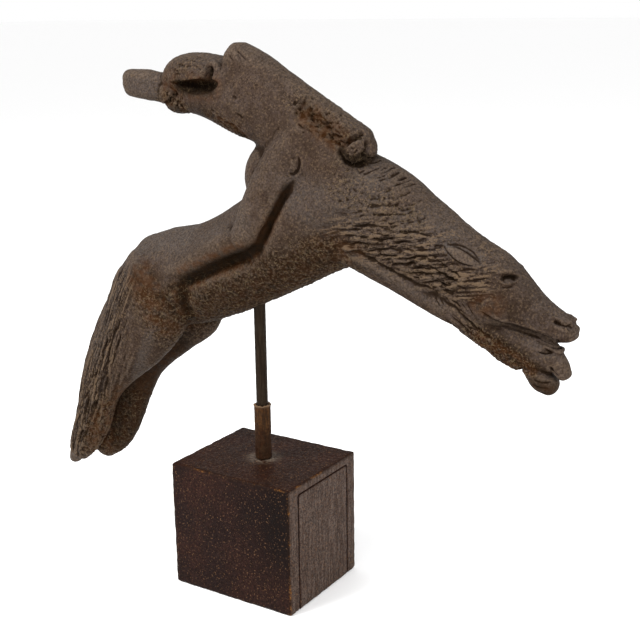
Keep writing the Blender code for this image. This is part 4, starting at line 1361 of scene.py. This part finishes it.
block_low, block_high = None, None
for name in ("base_block", "base_end_panel_right", "base_end_panel_left"):
    made, low, high = worn_copy(name, 0.0012, 1, 0.00012, 0.004, 3.0)
    if name == "base_block":
        block_low, block_high = low, high
    points, normals = read_points(made)
    edge = near_edge(points, block_low, block_high, 0.0042)
    chips = np.array([noise.noise(Vector(place) / 0.006) for place in points])
    points -= normals * (np.clip(edge - 0.35, 0, 1) * np.clip(0.25 + chips, 0, 1) * 0.0011)[:, None]
    write_points(made, np.clip(points, low + STAND_MARGIN, high - STAND_MARGIN))
    ring = np.linalg.norm(points[:, :2], axis=1)
    dust = np.exp(-((ring - 0.0085) / 0.0055) ** 2) * (points[:, 2] > block_high[2] - 0.002)
    store(made, "edge", edge)
    store(made, "endward", np.abs(normals[:, 0]))
    store(made, "upward", normals[:, 2])
    shade = np.clip((points[:, 0] + 0.004) / 0.05, 0, 1) * np.clip((points[:, 2] - 0.008) / 0.05, 0, 1)
    store(made, "dust", dust)
    store(made, "shade", shade * (points[:, 1] < -0.045))
    finished_piece(made, name, wood)
    print(name, len(made.data.vertices), "points")

# %% Steel and rust
steel, t, shader, place_here = start_material("Dull steel")
lines = group(t, grain_tree, Place=place_here, Stretch=(1.0, 1.0, 0.08), Size=0.0016)
cloud = mottled(t, place_here, 0.008, 0.35, 0.65)
small = mottled(t, place_here, 0.0014, 0.40, 0.62)
metal = blend(t, ramp(t, lines.outputs[0], 0.36, 0.62), (0.0070, 0.0038, 0.0018), (0.0200, 0.0136, 0.0080))
metal = coat(t, metal, cloud, 0.5, (0.0160, 0.0092, 0.0048))
metal = coat(t, metal, small, 0.4, (0.0100, 0.0060, 0.0035))
t.links.new(metal, shader.inputs["Base Color"])
shader.inputs["Metallic"].default_value = 0.15
t.links.new(ramp(t, cloud, 0.0, 1.0, 0.36, 0.55), shader.inputs["Roughness"])
shader.inputs["Specular IOR Level"].default_value = 0.04
bump(t, shader, small, 0.0002, 0.6)

rusted, t, shader, place_here = start_material("Rusted steel")
lines = group(t, grain_tree, Place=place_here, Stretch=(1.0, 1.0, 0.14), Size=0.0018)
height = node(t, "ShaderNodeSeparateXYZ", inputs={0: place_here}).outputs[2]
cloud = mottled(t, place_here, 0.007, 0.35, 0.65)
small = mottled(t, place_here, 0.0016, 0.38, 0.62)
rust = blend(t, ramp(t, lines.outputs[0], 0.38, 0.62), (0.0240, 0.0085, 0.0018), (0.0640, 0.0250, 0.0060))
low_part = ramp(t, plus(t, height, times(t, cloud, 0.010)), 0.146, 0.136)
rust = coat(t, rust, low_part, 0.75, (0.0140, 0.0034, 0.0008))
rust = coat(t, rust, small, 0.55, (0.0080, 0.0035, 0.0015))
rust = coat(t, rust, cloud, 0.35, (0.0320, 0.0180, 0.0090))
rim = ramp(t, height, 0.1555, 0.1578)
rust = coat(t, rust, rim, 0.6, (0.1500, 0.0950, 0.0550))
t.links.new(rust, shader.inputs["Base Color"])
shader.inputs["Roughness"].default_value = 0.72
shader.inputs["Specular IOR Level"].default_value = 0.08
grit = node(t, "ShaderNodeTexNoise", inputs={"Vector": place_here, "Scale": 700.0, "Detail": 3.0})
bump(t, shader, plus(t, grit.outputs[0], lines.outputs[0]), 0.0006, 0.8)

rod_piece = worn_copy("mount_rod", 0.0008, 1, 0.00008, 0.003, 7.0)[0]
finished_piece(rod_piece, "mount_rod", steel)
sleeve_piece, low, high = worn_copy("mount_sleeve", 0.0005, 1, 0.00022, 0.0022, 11.0)
points, normals = read_points(sleeve_piece)
turn = np.arctan2(points[:, 1], points[:, 0])
ragged = np.array([noise.noise(Vector((math.cos(a) * 2.2, math.sin(a) * 2.2, 4.0))) for a in turn])
RIM_HEIGHT = 0.0035
rim_share = np.clip((points[:, 2] - (high[2] - RIM_HEIGHT)) / RIM_HEIGHT, 0, 1)
points[:, 2] -= rim_share * np.clip(0.35 + ragged, 0, 1.2) * 0.0016
write_points(sleeve_piece, points)
finished_piece(sleeve_piece, "mount_sleeve", rusted)
print("rod", len(rod_piece.data.vertices), "points, sleeve", len(sleeve_piece.data.vertices))

# %% [markdown]
# ## Floor, light and camera
#
# The photo is a cut-out on white with soft light from above and in front. A pale floor and a pale
# sky give the same, with a large lamp for the soft crests of light and a weaker one from the right.
# The camera stands where the block's corners and the rod say that it stood for the photo.

# %% Floor
floor_mesh = bpy.data.meshes.new("floor")
floor_mesh.from_pydata([(-30, -30, 0), (30, -30, 0), (30, 30, 0), (-30, 30, 0)], [], [(0, 1, 2, 3)])
floor = bpy.data.objects.new("floor", floor_mesh)
scene.collection.objects.link(floor)
pale_floor, t, shader = start_material("Pale floor")[:3]
shader.inputs["Base Color"].default_value = (0.97, 0.97, 0.97, 1.0)
shader.inputs["Roughness"].default_value = 0.9
floor_mesh.materials.append(pale_floor)

# %% Light
world = bpy.data.worlds.new("Pale room")
world.use_nodes = True
world.node_tree.nodes["Background"].inputs["Color"].default_value = (1.0, 1.0, 1.0, 1.0)
world.node_tree.nodes["Background"].inputs["Strength"].default_value = 1.0
scene.world = world


def lamp(name, place_at, aim, size, power):
    """A large soft lamp that looks at a point."""
    light = bpy.data.lights.new(name, "AREA")
    light.shape, light.size, light.energy = "SQUARE", size, power
    made = bpy.data.objects.new(name, light)
    made.location = place_at
    made.rotation_euler = (Vector(aim) - Vector(place_at)).to_track_quat("-Z", "Y").to_euler()
    scene.collection.objects.link(made)


lamp("key", (-0.7, -1.0, 1.5), (0.0, 0.0, 0.28), 0.9, 44)
lamp("fill", (1.2, -0.6, 0.9), (0.0, 0.0, 0.25), 0.8, 14)

# %% Camera
AZIMUTH, ELEVATION, ROLL = math.radians(32.92), math.radians(15.19), math.radians(-0.81)
CAMERA_PLACE = (0.5424, -0.7466, 0.4825)
FOCAL_PIXELS = 1158.63
PHOTO_WIDTH = 640
back = Vector((math.sin(AZIMUTH) * math.cos(ELEVATION), -math.cos(AZIMUTH) * math.cos(ELEVATION),
               math.sin(ELEVATION)))
right = (-back).cross(Vector((0, 0, 1))).normalized()
upward = right.cross(-back)
turned_right = right * math.cos(ROLL) + upward * math.sin(ROLL)
turned_up = upward * math.cos(ROLL) - right * math.sin(ROLL)
view_camera = bpy.data.cameras.new("camera")
view_camera.sensor_width = 36.0
view_camera.lens = FOCAL_PIXELS / PHOTO_WIDTH * view_camera.sensor_width
camera = bpy.data.objects.new("camera", view_camera)
camera.matrix_world = Matrix.Translation(CAMERA_PLACE) @ Matrix(
    (turned_right, turned_up, back)).transposed().to_4x4()
scene.collection.objects.link(camera)
scene.camera = camera
scene.view_settings.view_transform = "Standard"
print("camera lens", round(view_camera.lens, 2), "mm")

# %% Finish
bpy.context.view_layer.update()
